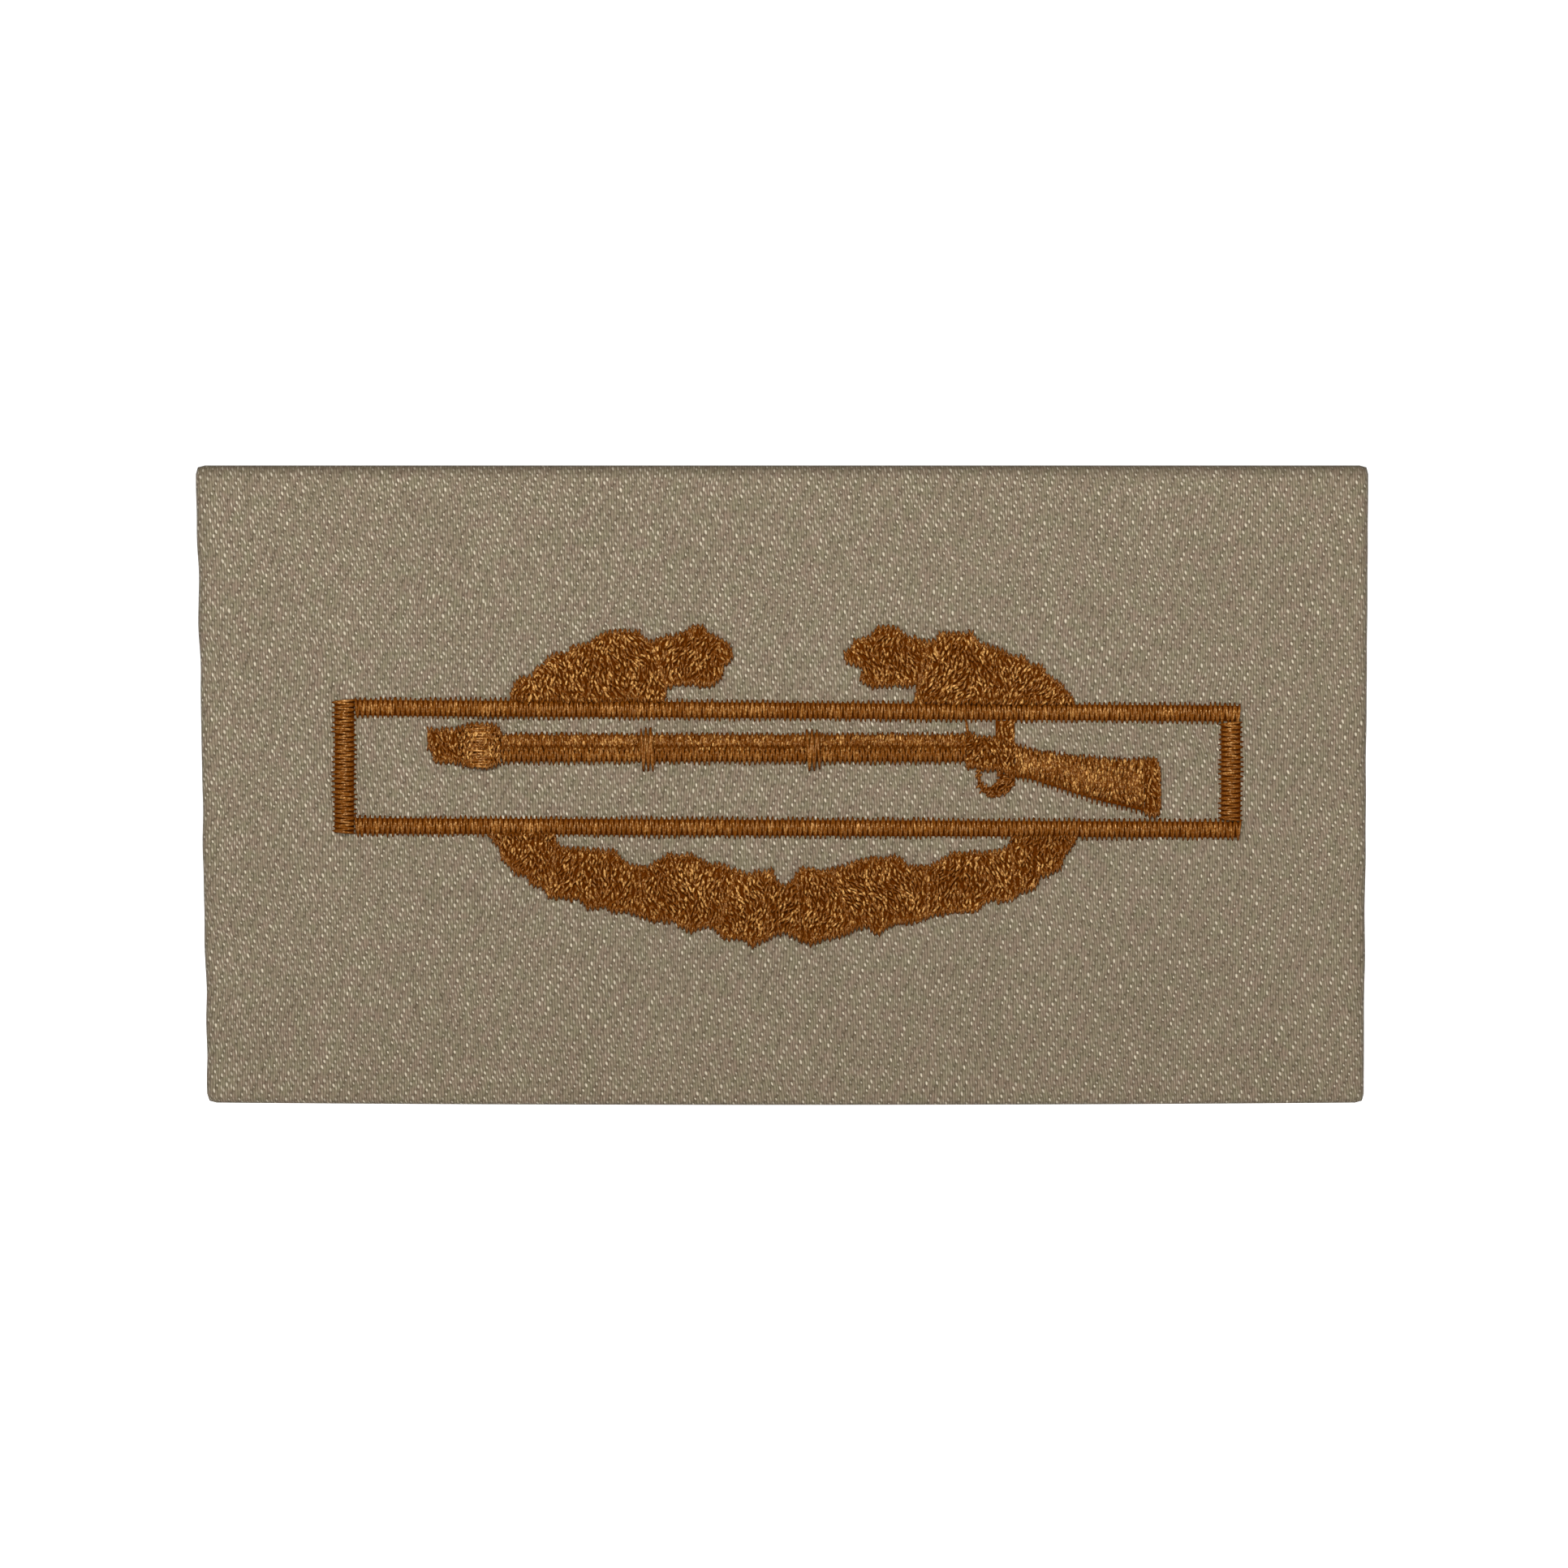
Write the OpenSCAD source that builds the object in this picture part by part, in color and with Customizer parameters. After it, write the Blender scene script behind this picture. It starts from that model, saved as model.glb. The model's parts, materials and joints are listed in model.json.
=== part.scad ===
// Embroidered cloth badge: a long rectangular bar with a musket laid in it,
// on a wreath of oak leaves, satin-stitched in brown thread on a turned-in
// rectangle of drab twill, ready to be sewn on.
//
// Frame: the badge stands upright, as it is worn. X runs to the viewer's
// right, Z runs up, and the embroidered face looks along -Y. The origin is the
// centre of the back, in the plane of the turned-in hems (y = 0).
// All sizes are millimetres.

/* [Cloth] */
// finished width of the cloth at its middle
cloth_w = 97.9; // [60:0.5:140]
// finished height of the cloth
cloth_h = 53.6; // [35:0.2:80]
// thickness of one layer of the twill
cloth_t = 0.35; // [0.25:0.05:0.6]
// thickness of the interlining between the face and the hems
lining_t = 0.35; // [0.2:0.05:0.6]
// width of the turned-in hem along the top and the bottom
hem_top = 11; // [6:0.5:14]
// width of the turned-in hem at the two ends
hem_side = 10; // [6:0.5:12]
// how far the left edge leans in from top to bottom
lean_left = 1.0; // [0:0.1:2]
// how far the right edge leans in from top to bottom
lean_right = 0.4; // [0:0.1:2]
// radius of the folded corners
corner_r = 0.55; // [0.3:0.05:3]

/* [Bar] */
// outer width of the bar, end to end
bar_w = 76.2; // [50:0.1:100]
// outer height of the bar
bar_h = 11.25; // [8:0.05:16]
// width of the long satin columns
bar_col = 1.4; // [1:0.05:2.5]
// width of the short satin columns at the ends
bar_end_col = 1.7; // [1:0.05:2.5]
// how far the upper and the lower column of the bar fall to the right, in degrees
top_tilt = 0.38; // [0:0.02:1]
low_tilt = 0.25; // [0:0.02:1]
// height of the middle of the bar above the middle of the cloth
bar_z = 1.25; // [-3:0.05:5]

/* [Thread] */
// how far a satin column stands off the cloth
satin_h = 0.6; // [0.3:0.05:1]
// how far a filled leaf stands off the cloth
fill_h = 0.5; // [0.3:0.05:1]
// how far the bands and the nose cap stand off the cloth
band_h = 0.75; // [0.4:0.05:1.2]
// depth of the under-thread on the back of the interlining
under_h = 0.18; // [0.1:0.02:0.3]

/* [Musket] */
// height of the barrel's centre line above the middle of the cloth
barrel_z = 3.45; // [2:0.05:5]
// width of the barrel's satin column
barrel_col = 1.4; // [1:0.05:2]
// width of the fore-stock's satin column
stock_col = 0.9; // [0.6:0.05:1.4]
// where the barrel and the fore-stock start, at the nose cap
barrel_x0 = -23.8; // [-26:0.1:-20]
// where they end, at the lock
barrel_x1 = 15.3; // [12:0.1:18]
// where the two bands cross the barrel
band_at = [-11.5, 2.45];
// length of each band along the barrel
band_w = [1.1, 1.2];

/* [Hidden] */
$fn = 48;
eps = 0.01;
plate_t = 2 * cloth_t + lining_t;          // cloth, interlining, hem
y_lining = cloth_t;                        // back of the interlining
y_face = cloth_t + lining_t;               // back of the face cloth
y_front = plate_t;                         // face of the cloth
bar_mid = 0.3;                             // the bar sits a little to the right
bar_x0 = bar_mid - bar_w / 2;
bar_x1 = bar_mid + bar_w / 2;
bar_top_z = bar_z + bar_h / 2 - bar_col / 2;
bar_bot_z = bar_z - bar_h / 2 + bar_col / 2;

// Each long column is turned about the middle of the bar.
function tilt_at(z) = z > bar_z ? top_tilt : low_tilt;
// How far a long column has moved up at x.
function rise_at(z, x) = -tan(tilt_at(z)) * (x - bar_mid);

cloth_col = [0.56, 0.51, 0.43];
back_col = [0.80, 0.78, 0.72];
thread_col = [0.47, 0.29, 0.13];
dark_col = [0.40, 0.23, 0.09];
light_col = [0.52, 0.33, 0.16];
under_col = [0.72, 0.66, 0.55];

// ---------------------------------------------------------------- helpers

// Stands a flat outline up in the XZ plane and gives it depth, from y = -y0
// towards the front.
module standing(y0, depth) {
  translate([0, -y0, 0]) rotate([90, 0, 0]) linear_extrude(depth) children();
}

// Section of a satin column, depth along X and width along Y: straight sides,
// then a rounded back where the threads arch over their padding.
module satin_section(w, h) {
  wall = h * 0.35;
  rise = h - wall;
  r = (w * w / 4 + rise * rise) / (2 * rise);
  translate([0, -w / 2]) square([wall + eps, w]);
  intersection() {
    translate([h - r, 0]) circle(r, $fn = 96);
    translate([wall, -w / 2]) square([rise + 1, w]);
  }
}

// A satin column that lies on the cloth and runs along X.
module column_x(x0, x1, w, h) {
  translate([x0, 0, 0]) rotate([90, 0, 90]) linear_extrude(x1 - x0)
    mirror([1, 0]) translate([y_front, 0]) satin_section(w, h);
}

// A satin column that lies on the cloth and runs along Z.
module column_z(z0, z1, w, h) {
  translate([0, 0, z0]) linear_extrude(z1 - z0)
    rotate(-90) translate([y_front, 0]) satin_section(w, h);
}

// A filled patch of stitches with the given outline.
module patch(h) { standing(y_front, h) children(); }

// Threads on the back of the interlining, under a patch or a column.
module under() { standing(y_lining - under_h, under_h) children(); }

// ------------------------------------------------------------------ cloth

// One folded edge: a long slab whose free side is a half round, with that side
// on the Z axis and the slab running away along +X.
module folded_edge() {
  r = plate_t / 2;
  translate([0, 0, -60]) linear_extrude(120) {
    translate([r, -r]) circle(r, $fn = 48);
    translate([r, -plate_t]) square([140, plate_t]);
  }
}

// Twill turned in along all four edges. The hems lie behind the interlining
// and leave a window in the middle of the back.
module face_cloth() {
  w2 = cloth_w / 2;
  h2 = cloth_h / 2;
  lean_l = atan(lean_left / cloth_h);
  lean_r = atan(lean_right / cloth_h);
  color(cloth_col) difference() {
    intersection() {
      translate([-w2, 0, 0]) rotate([0, -lean_l, 0]) folded_edge();
      translate([w2, 0, 0]) rotate([0, lean_r, 0]) mirror([1, 0, 0]) folded_edge();
      translate([0, 0, -h2]) rotate([0, 90, 0]) mirror([1, 0, 0]) folded_edge();
      translate([0, 0, h2]) rotate([0, 90, 0]) folded_edge();
      standing(-1, plate_t + 2) translate([corner_r - w2 - 1, corner_r - h2])
        rounded_rectangle(cloth_w + 2, cloth_h, corner_r);
    }
    standing(y_lining, lining_t) square([lining_w(), lining_h()], center = true);
    standing(-1, y_lining + 1)
      square([cloth_w - 2 * hem_side, cloth_h - 2 * hem_top], center = true);
  }
}

// A rectangle with rounded corners, drawn from the middle of its first corner.
module rounded_rectangle(w, h, r) {
  translate([-r, 0]) square([w, h - 2 * r]);
  translate([0, -r]) square([w - 2 * r, h]);
  for (x = [0, w - 2 * r], y = [0, h - 2 * r]) translate([x, y]) circle(r);
}

function lining_w() = cloth_w - 2 * lean_left - 1.2;
function lining_h() = cloth_h - 1.2;

// Nonwoven interlining that carries the stitches, cut to fit inside the folds.
module interlining() {
  color(back_col) standing(y_lining, lining_t)
    square([lining_w(), lining_h()], center = true);
}

// -------------------------------------------------------------------- bar

// The two long columns fall slightly to the right, so each is turned about
// the middle of the bar and trimmed square at its ends.
module turned(z) {
  translate([bar_mid, 0, z]) rotate([0, tilt_at(z), 0]) translate([-bar_mid, 0, 0])
    children();
}

module long_column(z) {
  intersection() {
    turned(z) column_x(bar_x0 - 2, bar_x1 + 2, bar_col, satin_h);
    translate([bar_x0 + bar_end_col, -y_front - 2, z - 3])
      cube([bar_w - bar_end_col, 4, 6]);
  }
}

module bar_top() { color(thread_col) long_column(bar_top_z); }
module bar_bottom() { color(thread_col) long_column(bar_bot_z); }

// The left end runs the whole height of the bar.
module bar_left() {
  x = bar_x0 + bar_end_col / 2;
  color(dark_col) translate([x, 0, 0])
    column_z(bar_bot_z - bar_col / 2 + rise_at(bar_bot_z, x),
             bar_top_z + bar_col / 2 + rise_at(bar_top_z, x),
             bar_end_col, satin_h);
}

// The right end stands between the long columns, which run on past it.
module bar_right() {
  x = bar_x1 - bar_end_col / 2;
  color(dark_col) difference() {
    translate([x, 0, 0])
      column_z(bar_bot_z + rise_at(bar_bot_z, x), bar_top_z + rise_at(bar_top_z, x),
               bar_end_col, satin_h);
    for (z = [bar_bot_z, bar_top_z])
      turned(z) translate([x - 3, -y_front - 2, -bar_col / 2]) cube([6, 4, bar_col]);
  }
}

// ----------------------------------------------------------------- musket

barrel_top_z = barrel_z + barrel_col / 2;
barrel_low_z = barrel_z - barrel_col / 2;
stock_low_z = barrel_low_z - stock_col;
lock_x1 = 19.4;
plate_x0 = 30.3;

module muzzle_outline() {
  polygon([[-29.9, 4.5], [-27.3, 4.5], [-27.3, 1.9], [-29.4, 1.9],
           [-29.5, 2.8], [-29.9, 3.0]]);
}

module nose_outline() {
  polygon([[-27.3, 4.55], [-26.6, 4.85], [-25.8, 5.0], [-24.8, 4.95],
           [-24.2, 4.7], [-23.8, 4.2], [-23.8, 1.9], [-24.4, 1.55],
           [-25.3, 1.35], [-26.3, 1.45], [-27.3, 1.85]]);
}

module lock_outline() {
  polygon([[barrel_x1, 4.15], [16.4, 3.95], [17.75, 3.75], [lock_x1, 3.3],
           [lock_x1, 0.45], [18.7, 0.8], [17.9, 1.25], [16.25, 1.3],
           [barrel_x1, 1.5]]);
}

module hammer_outline() {
  top = bar_top_z - bar_col / 2 + rise_at(bar_top_z, lock_x1);
  polygon([[17.75, 3.75], [17.75, top], [lock_x1, top], [lock_x1, 3.3]]);
}

module guard_outline() {
  difference() {
    polygon([[16.1, 1.3], [16.2, -0.2], [16.7, -0.8], [17.4, -1.1],
             [18.3, -1.0], [19.1, -0.6], [lock_x1, 0.0], [lock_x1, 0.45],
             [18.7, 0.8], [17.9, 1.25], [16.25, 1.3]]);
    translate([17.3, 0.55]) circle(0.72);
    translate([17.3 - 0.72, 0.55]) square([0.95, 2]);
  }
}

module butt_outline() {
  polygon([[lock_x1, 3.3], [21.5, 2.7], [24.6, 2.3], [27.6, 2.05],
           [plate_x0, 2.05], [plate_x0, -2.35], [26.5, -1.5], [22.8, -0.35],
           [20.5, 0.4], [lock_x1, 0.45]]);
}

module butt_plate_outline() {
  polygon([[plate_x0, 2.05], [31.2, 2.05], [31.55, 1.2], [31.6, -1.8],
           [31.4, -2.7], [30.7, -2.7], [plate_x0, -2.35]]);
}

// The barrel and the fore-stock are two long columns side by side.
module barrel() {
  color(thread_col) translate([0, 0, barrel_z])
    column_x(barrel_x0, barrel_x1, barrel_col, satin_h - 0.1);
}

module fore_stock() {
  color(dark_col) translate([0, 0, barrel_low_z - stock_col / 2])
    column_x(barrel_x0, barrel_x1, stock_col, satin_h - 0.15);
}

// A band stitched over the barrel and the fore-stock, wider than both.
module band(i, top, low) {
  color(dark_col) difference() {
    standing(y_front, band_h)
      translate([band_at[i] - band_w[i] / 2, low]) square([band_w[i], top - low]);
    barrel();
    fore_stock();
  }
}

module front_band() { band(0, 4.65, 1.2); }
module rear_band() { band(1, 4.45, 1.25); }

module muzzle() { color(thread_col) patch(fill_h) muzzle_outline(); }
module nose_cap() { color(light_col) patch(band_h) nose_outline(); }
module lock() { color(light_col) patch(satin_h) lock_outline(); }
module hammer() { color(dark_col) patch(fill_h) hammer_outline(); }
module trigger_guard() { color(dark_col) patch(fill_h - 0.1) guard_outline(); }
module butt_stock() { color(light_col) patch(satin_h) butt_outline(); }
module butt_plate() { color(dark_col) patch(fill_h) butt_plate_outline(); }

// A single upright thread in front of the hammer.
module rear_sight() {
  color(dark_col) patch(0.3)
    translate([15.25, barrel_top_z]) square([0.25, 5.15 - barrel_top_z]);
}

// ----------------------------------------------------------------- wreath

module upper_left_outline() {
  polygon([[-23.0, 6.6], [-23.0, 7.3], [-22.6, 8.3], [-22.2, 8.9], [-21.1, 8.95],
           [-20.8, 9.8], [-20.1, 9.95], [-19.9, 10.5], [-19.1, 10.85],
           [-18.2, 10.95], [-17.8, 11.5], [-16.5, 11.7], [-15.7, 12.3],
           [-14.8, 12.7], [-12.2, 12.7], [-11.7, 12.1], [-11.2, 11.8],
           [-9.9, 8.1], [-10.0, 7.3],
           [-10.0, 6.6]]);
}

module upper_left_tip_outline() {
  polygon([[-11.2, 11.8], [-10.4, 12.2], [-9.0, 12.4], [-8.2, 12.65],
           [-7.8, 13.1], [-6.7, 13.1], [-6.4, 12.5], [-5.4, 12.15],
           [-4.7, 11.6], [-4.35, 10.9], [-4.6, 10.3], [-5.1, 10.0],
           [-5.3, 9.0], [-5.8, 8.5], [-6.5, 8.2], [-7.1, 8.2],
           [-7.8, 8.45], [-9.0, 8.35], [-9.9, 8.1]]);
}

module upper_right_outline() {
  polygon([[11.0, 6.4], [11.0, 7.1], [11.2, 7.9], [11.4, 8.4], [12.1, 11.8],
           [12.8, 12.0], [13.1, 12.6], [15.8, 12.6], [16.2, 11.9],
           [16.9, 11.6], [18.3, 11.2], [18.9, 10.75], [20.0, 10.6],
           [20.6, 10.05], [21.6, 9.8], [22.1, 9.1], [22.9, 8.6],
           [23.4, 8.1], [23.9, 7.5], [24.3, 7.0],
           [24.4, 6.4]]);
}

module upper_right_tip_outline() {
  polygon([[12.1, 11.8], [11.2, 12.1], [10.2, 12.4], [9.6, 13.0],
           [7.9, 13.1], [7.3, 12.3], [6.0, 12.0], [5.6, 11.4],
           [5.1, 10.9], [5.2, 10.3], [6.3, 10.0], [6.8, 9.4],
           [6.4, 8.9], [6.7, 8.5], [7.4, 8.2], [8.4, 8.35],
           [10.2, 8.3], [11.4, 8.4]]);
}

module lower_left_outer_outline() {
  polygon([[-24.8, -4.1], [-24.3, -5.0], [-23.8, -5.4], [-23.7, -6.2],
           [-23.0, -7.0], [-22.6, -7.5], [-21.6, -7.7], [-21.3, -8.35],
           [-20.3, -8.6], [-19.7, -9.45], [-19.2, -5.1], [-19.3, -4.1]]);
}

module lower_left_middle_outline() {
  polygon([[-19.2, -5.1], [-18.4, -5.5], [-16.5, -5.6], [-14.2, -5.7],
           [-13.6, -6.4], [-12.7, -7.0], [-12.2, -7.1], [-12.0, -11.1],
           [-12.8, -10.75], [-14.3, -10.7], [-15.0, -10.3], [-16.6, -10.3],
           [-17.1, -9.7], [-19.7, -9.45]]);
}

module lower_left_inner_outline() {
  polygon([[-12.2, -7.1], [-11.2, -7.0], [-10.4, -6.4], [-9.5, -6.05],
           [-7.7, -6.05], [-6.6, -6.7], [-5.0, -7.0], [-4.0, -7.4],
           [-5.6, -12.3], [-6.1, -11.95], [-7.0, -12.0], [-7.8, -12.35],
           [-8.6, -12.0], [-9.2, -11.5], [-11.2, -11.4], [-12.0, -11.1]]);
}

module lower_left_end_outline() {
  polygon([[-4.0, -7.4], [-3.2, -7.7], [-2.2, -7.5], [-1.0, -7.4],
           [-1.2, -9.0], [-1.4, -13.0], [-2.3, -13.3], [-2.6, -13.65],
           [-3.1, -13.2], [-4.2, -13.0], [-5.1, -12.9], [-5.6, -12.3]]);
}

module tie_outline() {
  polygon([[-1.0, -7.4], [-0.7, -8.2], [0.0, -8.6], [0.6, -8.4],
           [1.0, -7.8], [1.2, -9.0], [1.4, -13.1], [0.7, -12.7],
           [0.0, -12.4], [-0.7, -12.6], [-1.4, -13.0], [-1.2, -9.0]]);
}

module lower_right_end_outline() {
  polygon([[1.0, -7.8], [1.5, -7.15], [2.5, -7.15], [3.3, -7.5],
           [4.0, -7.3], [5.7, -12.3], [5.0, -12.65], [3.8, -12.95],
           [2.9, -13.1], [2.2, -13.4], [1.4, -13.1], [1.2, -9.0]]);
}

module lower_right_inner_outline() {
  polygon([[4.0, -7.3], [5.3, -7.0], [6.0, -6.6], [7.4, -6.3],
           [8.7, -6.4], [9.3, -6.1], [9.8, -6.3], [10.2, -6.9],
           [12.0, -7.0], [12.1, -11.1], [11.4, -11.5], [9.6, -11.65],
           [8.8, -11.9], [8.0, -12.5], [7.5, -12.4], [7.1, -12.0],
           [6.3, -11.95], [5.7, -12.3]]);
}

module lower_right_middle_outline() {
  polygon([[12.0, -7.0], [12.7, -6.8], [13.4, -6.3], [14.1, -5.9],
           [17.9, -5.75], [18.5, -5.5], [19.1, -5.2], [19.5, -9.4],
           [18.6, -9.9], [17.4, -9.7], [16.8, -10.0], [16.3, -10.65],
           [14.4, -10.8], [12.8, -10.9], [12.1, -11.1]]);
}

module lower_right_outer_outline() {
  polygon([[19.1, -4.3], [19.1, -5.2], [19.5, -9.4], [20.0, -9.0],
           [20.7, -8.9], [21.3, -8.4], [21.5, -7.7], [22.4, -7.5],
           [23.2, -7.0], [23.6, -6.0], [24.1, -5.4], [24.6, -4.3]]);
}

// A leaf, trimmed where it meets the long column of the bar.
module leaf(bar_side_z = 99) {
  color(light_col) difference() {
    patch(fill_h) children();
    if (bar_side_z < 50)
      turned(bar_side_z) translate([-40, -y_front - 2, -bar_col / 2])
        cube([80, 4, bar_col]);
  }
}

module leaf_upper_left() { leaf(bar_top_z) upper_left_outline(); }
module leaf_upper_left_tip() { leaf() upper_left_tip_outline(); }
module leaf_upper_right() { leaf(bar_top_z) upper_right_outline(); }
module leaf_upper_right_tip() { leaf() upper_right_tip_outline(); }

module leaf_lower_left_outer() { leaf(bar_bot_z) lower_left_outer_outline(); }
module leaf_lower_left_middle() { leaf() lower_left_middle_outline(); }
module leaf_lower_left_inner() { leaf() lower_left_inner_outline(); }
module leaf_lower_left_end() { leaf() lower_left_end_outline(); }
module leaf_lower_right_outer() { leaf(bar_bot_z) lower_right_outer_outline(); }
module leaf_lower_right_middle() { leaf() lower_right_middle_outline(); }
module leaf_lower_right_inner() { leaf() lower_right_inner_outline(); }
module leaf_lower_right_end() { leaf() lower_right_end_outline(); }

// Short stitches that tie the two branches together at the bottom.
module wreath_tie() { color(dark_col) patch(satin_h) tie_outline(); }

// ---------------------------------------------------------- under-threads

// Behind each stitched area the under-thread lies on the interlining, a
// little inside the outline on the front.
module under_long(z) {
  color(under_col) turned(z) under()
    translate([bar_x0 + bar_end_col, -bar_col / 2 + 0.1])
      square([bar_w - 2 * bar_end_col, bar_col - 0.2]);
}

module under_bar_top() { under_long(bar_top_z); }
module under_bar_bottom() { under_long(bar_bot_z); }

module under_end(x) {
  color(under_col) under() translate([x + 0.1, bar_bot_z + bar_col / 2 + 0.35])
    square([bar_end_col - 0.2, bar_top_z - bar_bot_z - bar_col - 0.7]);
}

module under_bar_left() { under_end(bar_x0); }
module under_bar_right() { under_end(bar_x1 - bar_end_col); }

module under_musket() {
  color(under_col) union() {
    under() muzzle_outline();
    under() nose_outline();
    under() translate([barrel_x0, stock_low_z])
      square([barrel_x1 - barrel_x0, barrel_top_z - stock_low_z]);
    under() lock_outline();
    under() hammer_outline();
    under() guard_outline();
    under() butt_outline();
    under() butt_plate_outline();
  }
}

module under_leaf_left() {
  color(under_col) difference() {
    union() {
      under() upper_left_outline();
      under() upper_left_tip_outline();
    }
    translate([-40, -2, 5.4]) cube([80, 4, 1.9]);
  }
}

module under_leaf_right() {
  color(under_col) difference() {
    union() {
      under() upper_right_outline();
      under() upper_right_tip_outline();
    }
    translate([-40, -2, 5.2]) cube([80, 4, 1.9]);
  }
}

module under_wreath_left() {
  color(under_col) difference() {
    union() {
      under() lower_left_outer_outline();
      under() lower_left_middle_outline();
      under() lower_left_inner_outline();
      under() lower_left_end_outline();
    }
    translate([-40, -2, -4.6]) cube([80, 4, 3]);
  }
}

module under_wreath_right() {
  color(under_col) difference() {
    union() {
      under() tie_outline();
      under() lower_right_end_outline();
      under() lower_right_inner_outline();
      under() lower_right_middle_outline();
      under() lower_right_outer_outline();
    }
    translate([-40, -2, -4.9]) cube([80, 4, 3]);
  }
}

// --------------------------------------------------------------- assembly

face_cloth();
interlining();
bar_top();
bar_bottom();
bar_left();
bar_right();
muzzle();
nose_cap();
barrel();
fore_stock();
front_band();
rear_band();
rear_sight();
hammer();
lock();
trigger_guard();
butt_stock();
butt_plate();
leaf_upper_left();
leaf_upper_left_tip();
leaf_upper_right();
leaf_upper_right_tip();
leaf_lower_left_outer();
leaf_lower_left_middle();
leaf_lower_left_inner();
leaf_lower_left_end();
leaf_lower_right_outer();
leaf_lower_right_middle();
leaf_lower_right_inner();
leaf_lower_right_end();
wreath_tie();
under_bar_top();
under_bar_bottom();
under_bar_left();
under_bar_right();
under_musket();
under_leaf_left();
under_leaf_right();
under_wreath_left();
under_wreath_right();
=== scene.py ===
# %% [markdown]
# # An embroidered cloth badge
#
# The real badge is a rectangle of drab twill with its edges turned in. A bar, a
# musket and an oak wreath are stitched on it in brown thread. The CAD frame
# gives one solid for each stitched area, and this script covers each of them
# with real threads.
#
# 1. A Geometry Nodes tree turns pairs of points into threads. Three more trees
#    plan the stitches: satin stitch across a column, fill stitch in a leaf, and
#    edge stitch along an outline.
# 2. The cloth is one folded sheet, with a twill weave worked out in its shader.
# 3. The camera looks straight at the face, over a pale floor.
#
# Lengths are in metres, and small ones are written as millimetres times `MM`.
# The twill's shader counts in plain millimetres.

# %% Frame
import bpy
import json
import math
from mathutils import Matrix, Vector, noise

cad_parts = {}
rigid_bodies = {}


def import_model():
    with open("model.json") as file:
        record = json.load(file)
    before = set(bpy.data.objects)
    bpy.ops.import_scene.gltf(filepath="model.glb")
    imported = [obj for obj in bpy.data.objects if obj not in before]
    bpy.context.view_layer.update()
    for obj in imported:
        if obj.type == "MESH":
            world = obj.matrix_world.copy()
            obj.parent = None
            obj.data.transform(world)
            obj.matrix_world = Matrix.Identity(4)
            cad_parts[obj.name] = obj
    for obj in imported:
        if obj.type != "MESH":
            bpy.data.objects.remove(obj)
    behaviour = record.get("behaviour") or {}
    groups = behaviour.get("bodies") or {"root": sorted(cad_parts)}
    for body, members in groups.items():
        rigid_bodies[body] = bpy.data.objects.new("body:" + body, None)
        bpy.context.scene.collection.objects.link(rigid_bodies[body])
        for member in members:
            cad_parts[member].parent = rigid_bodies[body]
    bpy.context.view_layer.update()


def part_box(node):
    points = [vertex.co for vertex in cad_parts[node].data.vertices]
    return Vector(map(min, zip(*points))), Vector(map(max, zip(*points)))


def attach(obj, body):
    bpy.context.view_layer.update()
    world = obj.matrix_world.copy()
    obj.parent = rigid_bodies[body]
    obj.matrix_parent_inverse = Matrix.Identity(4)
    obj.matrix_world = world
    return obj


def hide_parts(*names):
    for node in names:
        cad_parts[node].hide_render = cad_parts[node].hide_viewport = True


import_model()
MM = 0.001
scene = bpy.context.scene

# %% [markdown]
# ## Sizes from the frame
#
# Every place comes from the CAD nodes, so nothing can drift away from them. The
# cloth's box gives its size. Stitches on the face start from the front of the
# cloth, and those on the back from the back of the interlining.

# %% Sizes
lo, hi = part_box("face_cloth")
CLOTH_W, CLOTH_H = hi.x - lo.x, hi.z - lo.z
CENTRE = (lo + hi) / 2
Y_FRONT = lo.y                      # face of the cloth
Y_BACK = hi.y                       # back of the hems
LINING_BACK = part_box("interlining")[1].y
FORWARDS, BACKWARDS = (0.0, -1.0, 0.0), (0.0, 1.0, 0.0)
RIGHT, UP, DOWN = (1.0, 0.0, 0.0), (0.0, 0.0, 1.0), (0.0, 0.0, -1.0)
PITCH = 0.2115 * MM                 # from one thread of a column to the next
print(f"cloth {CLOTH_W / MM:.1f} x {CLOTH_H / MM:.1f} mm")

# %% [markdown]
# ## Helpers for node trees
#
# A node tree can be drawn by hand or built in code. `Tree` builds it with short
# calls. A value may be a constant, which is set on the socket, or another
# node's output, which is linked to it.

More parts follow.
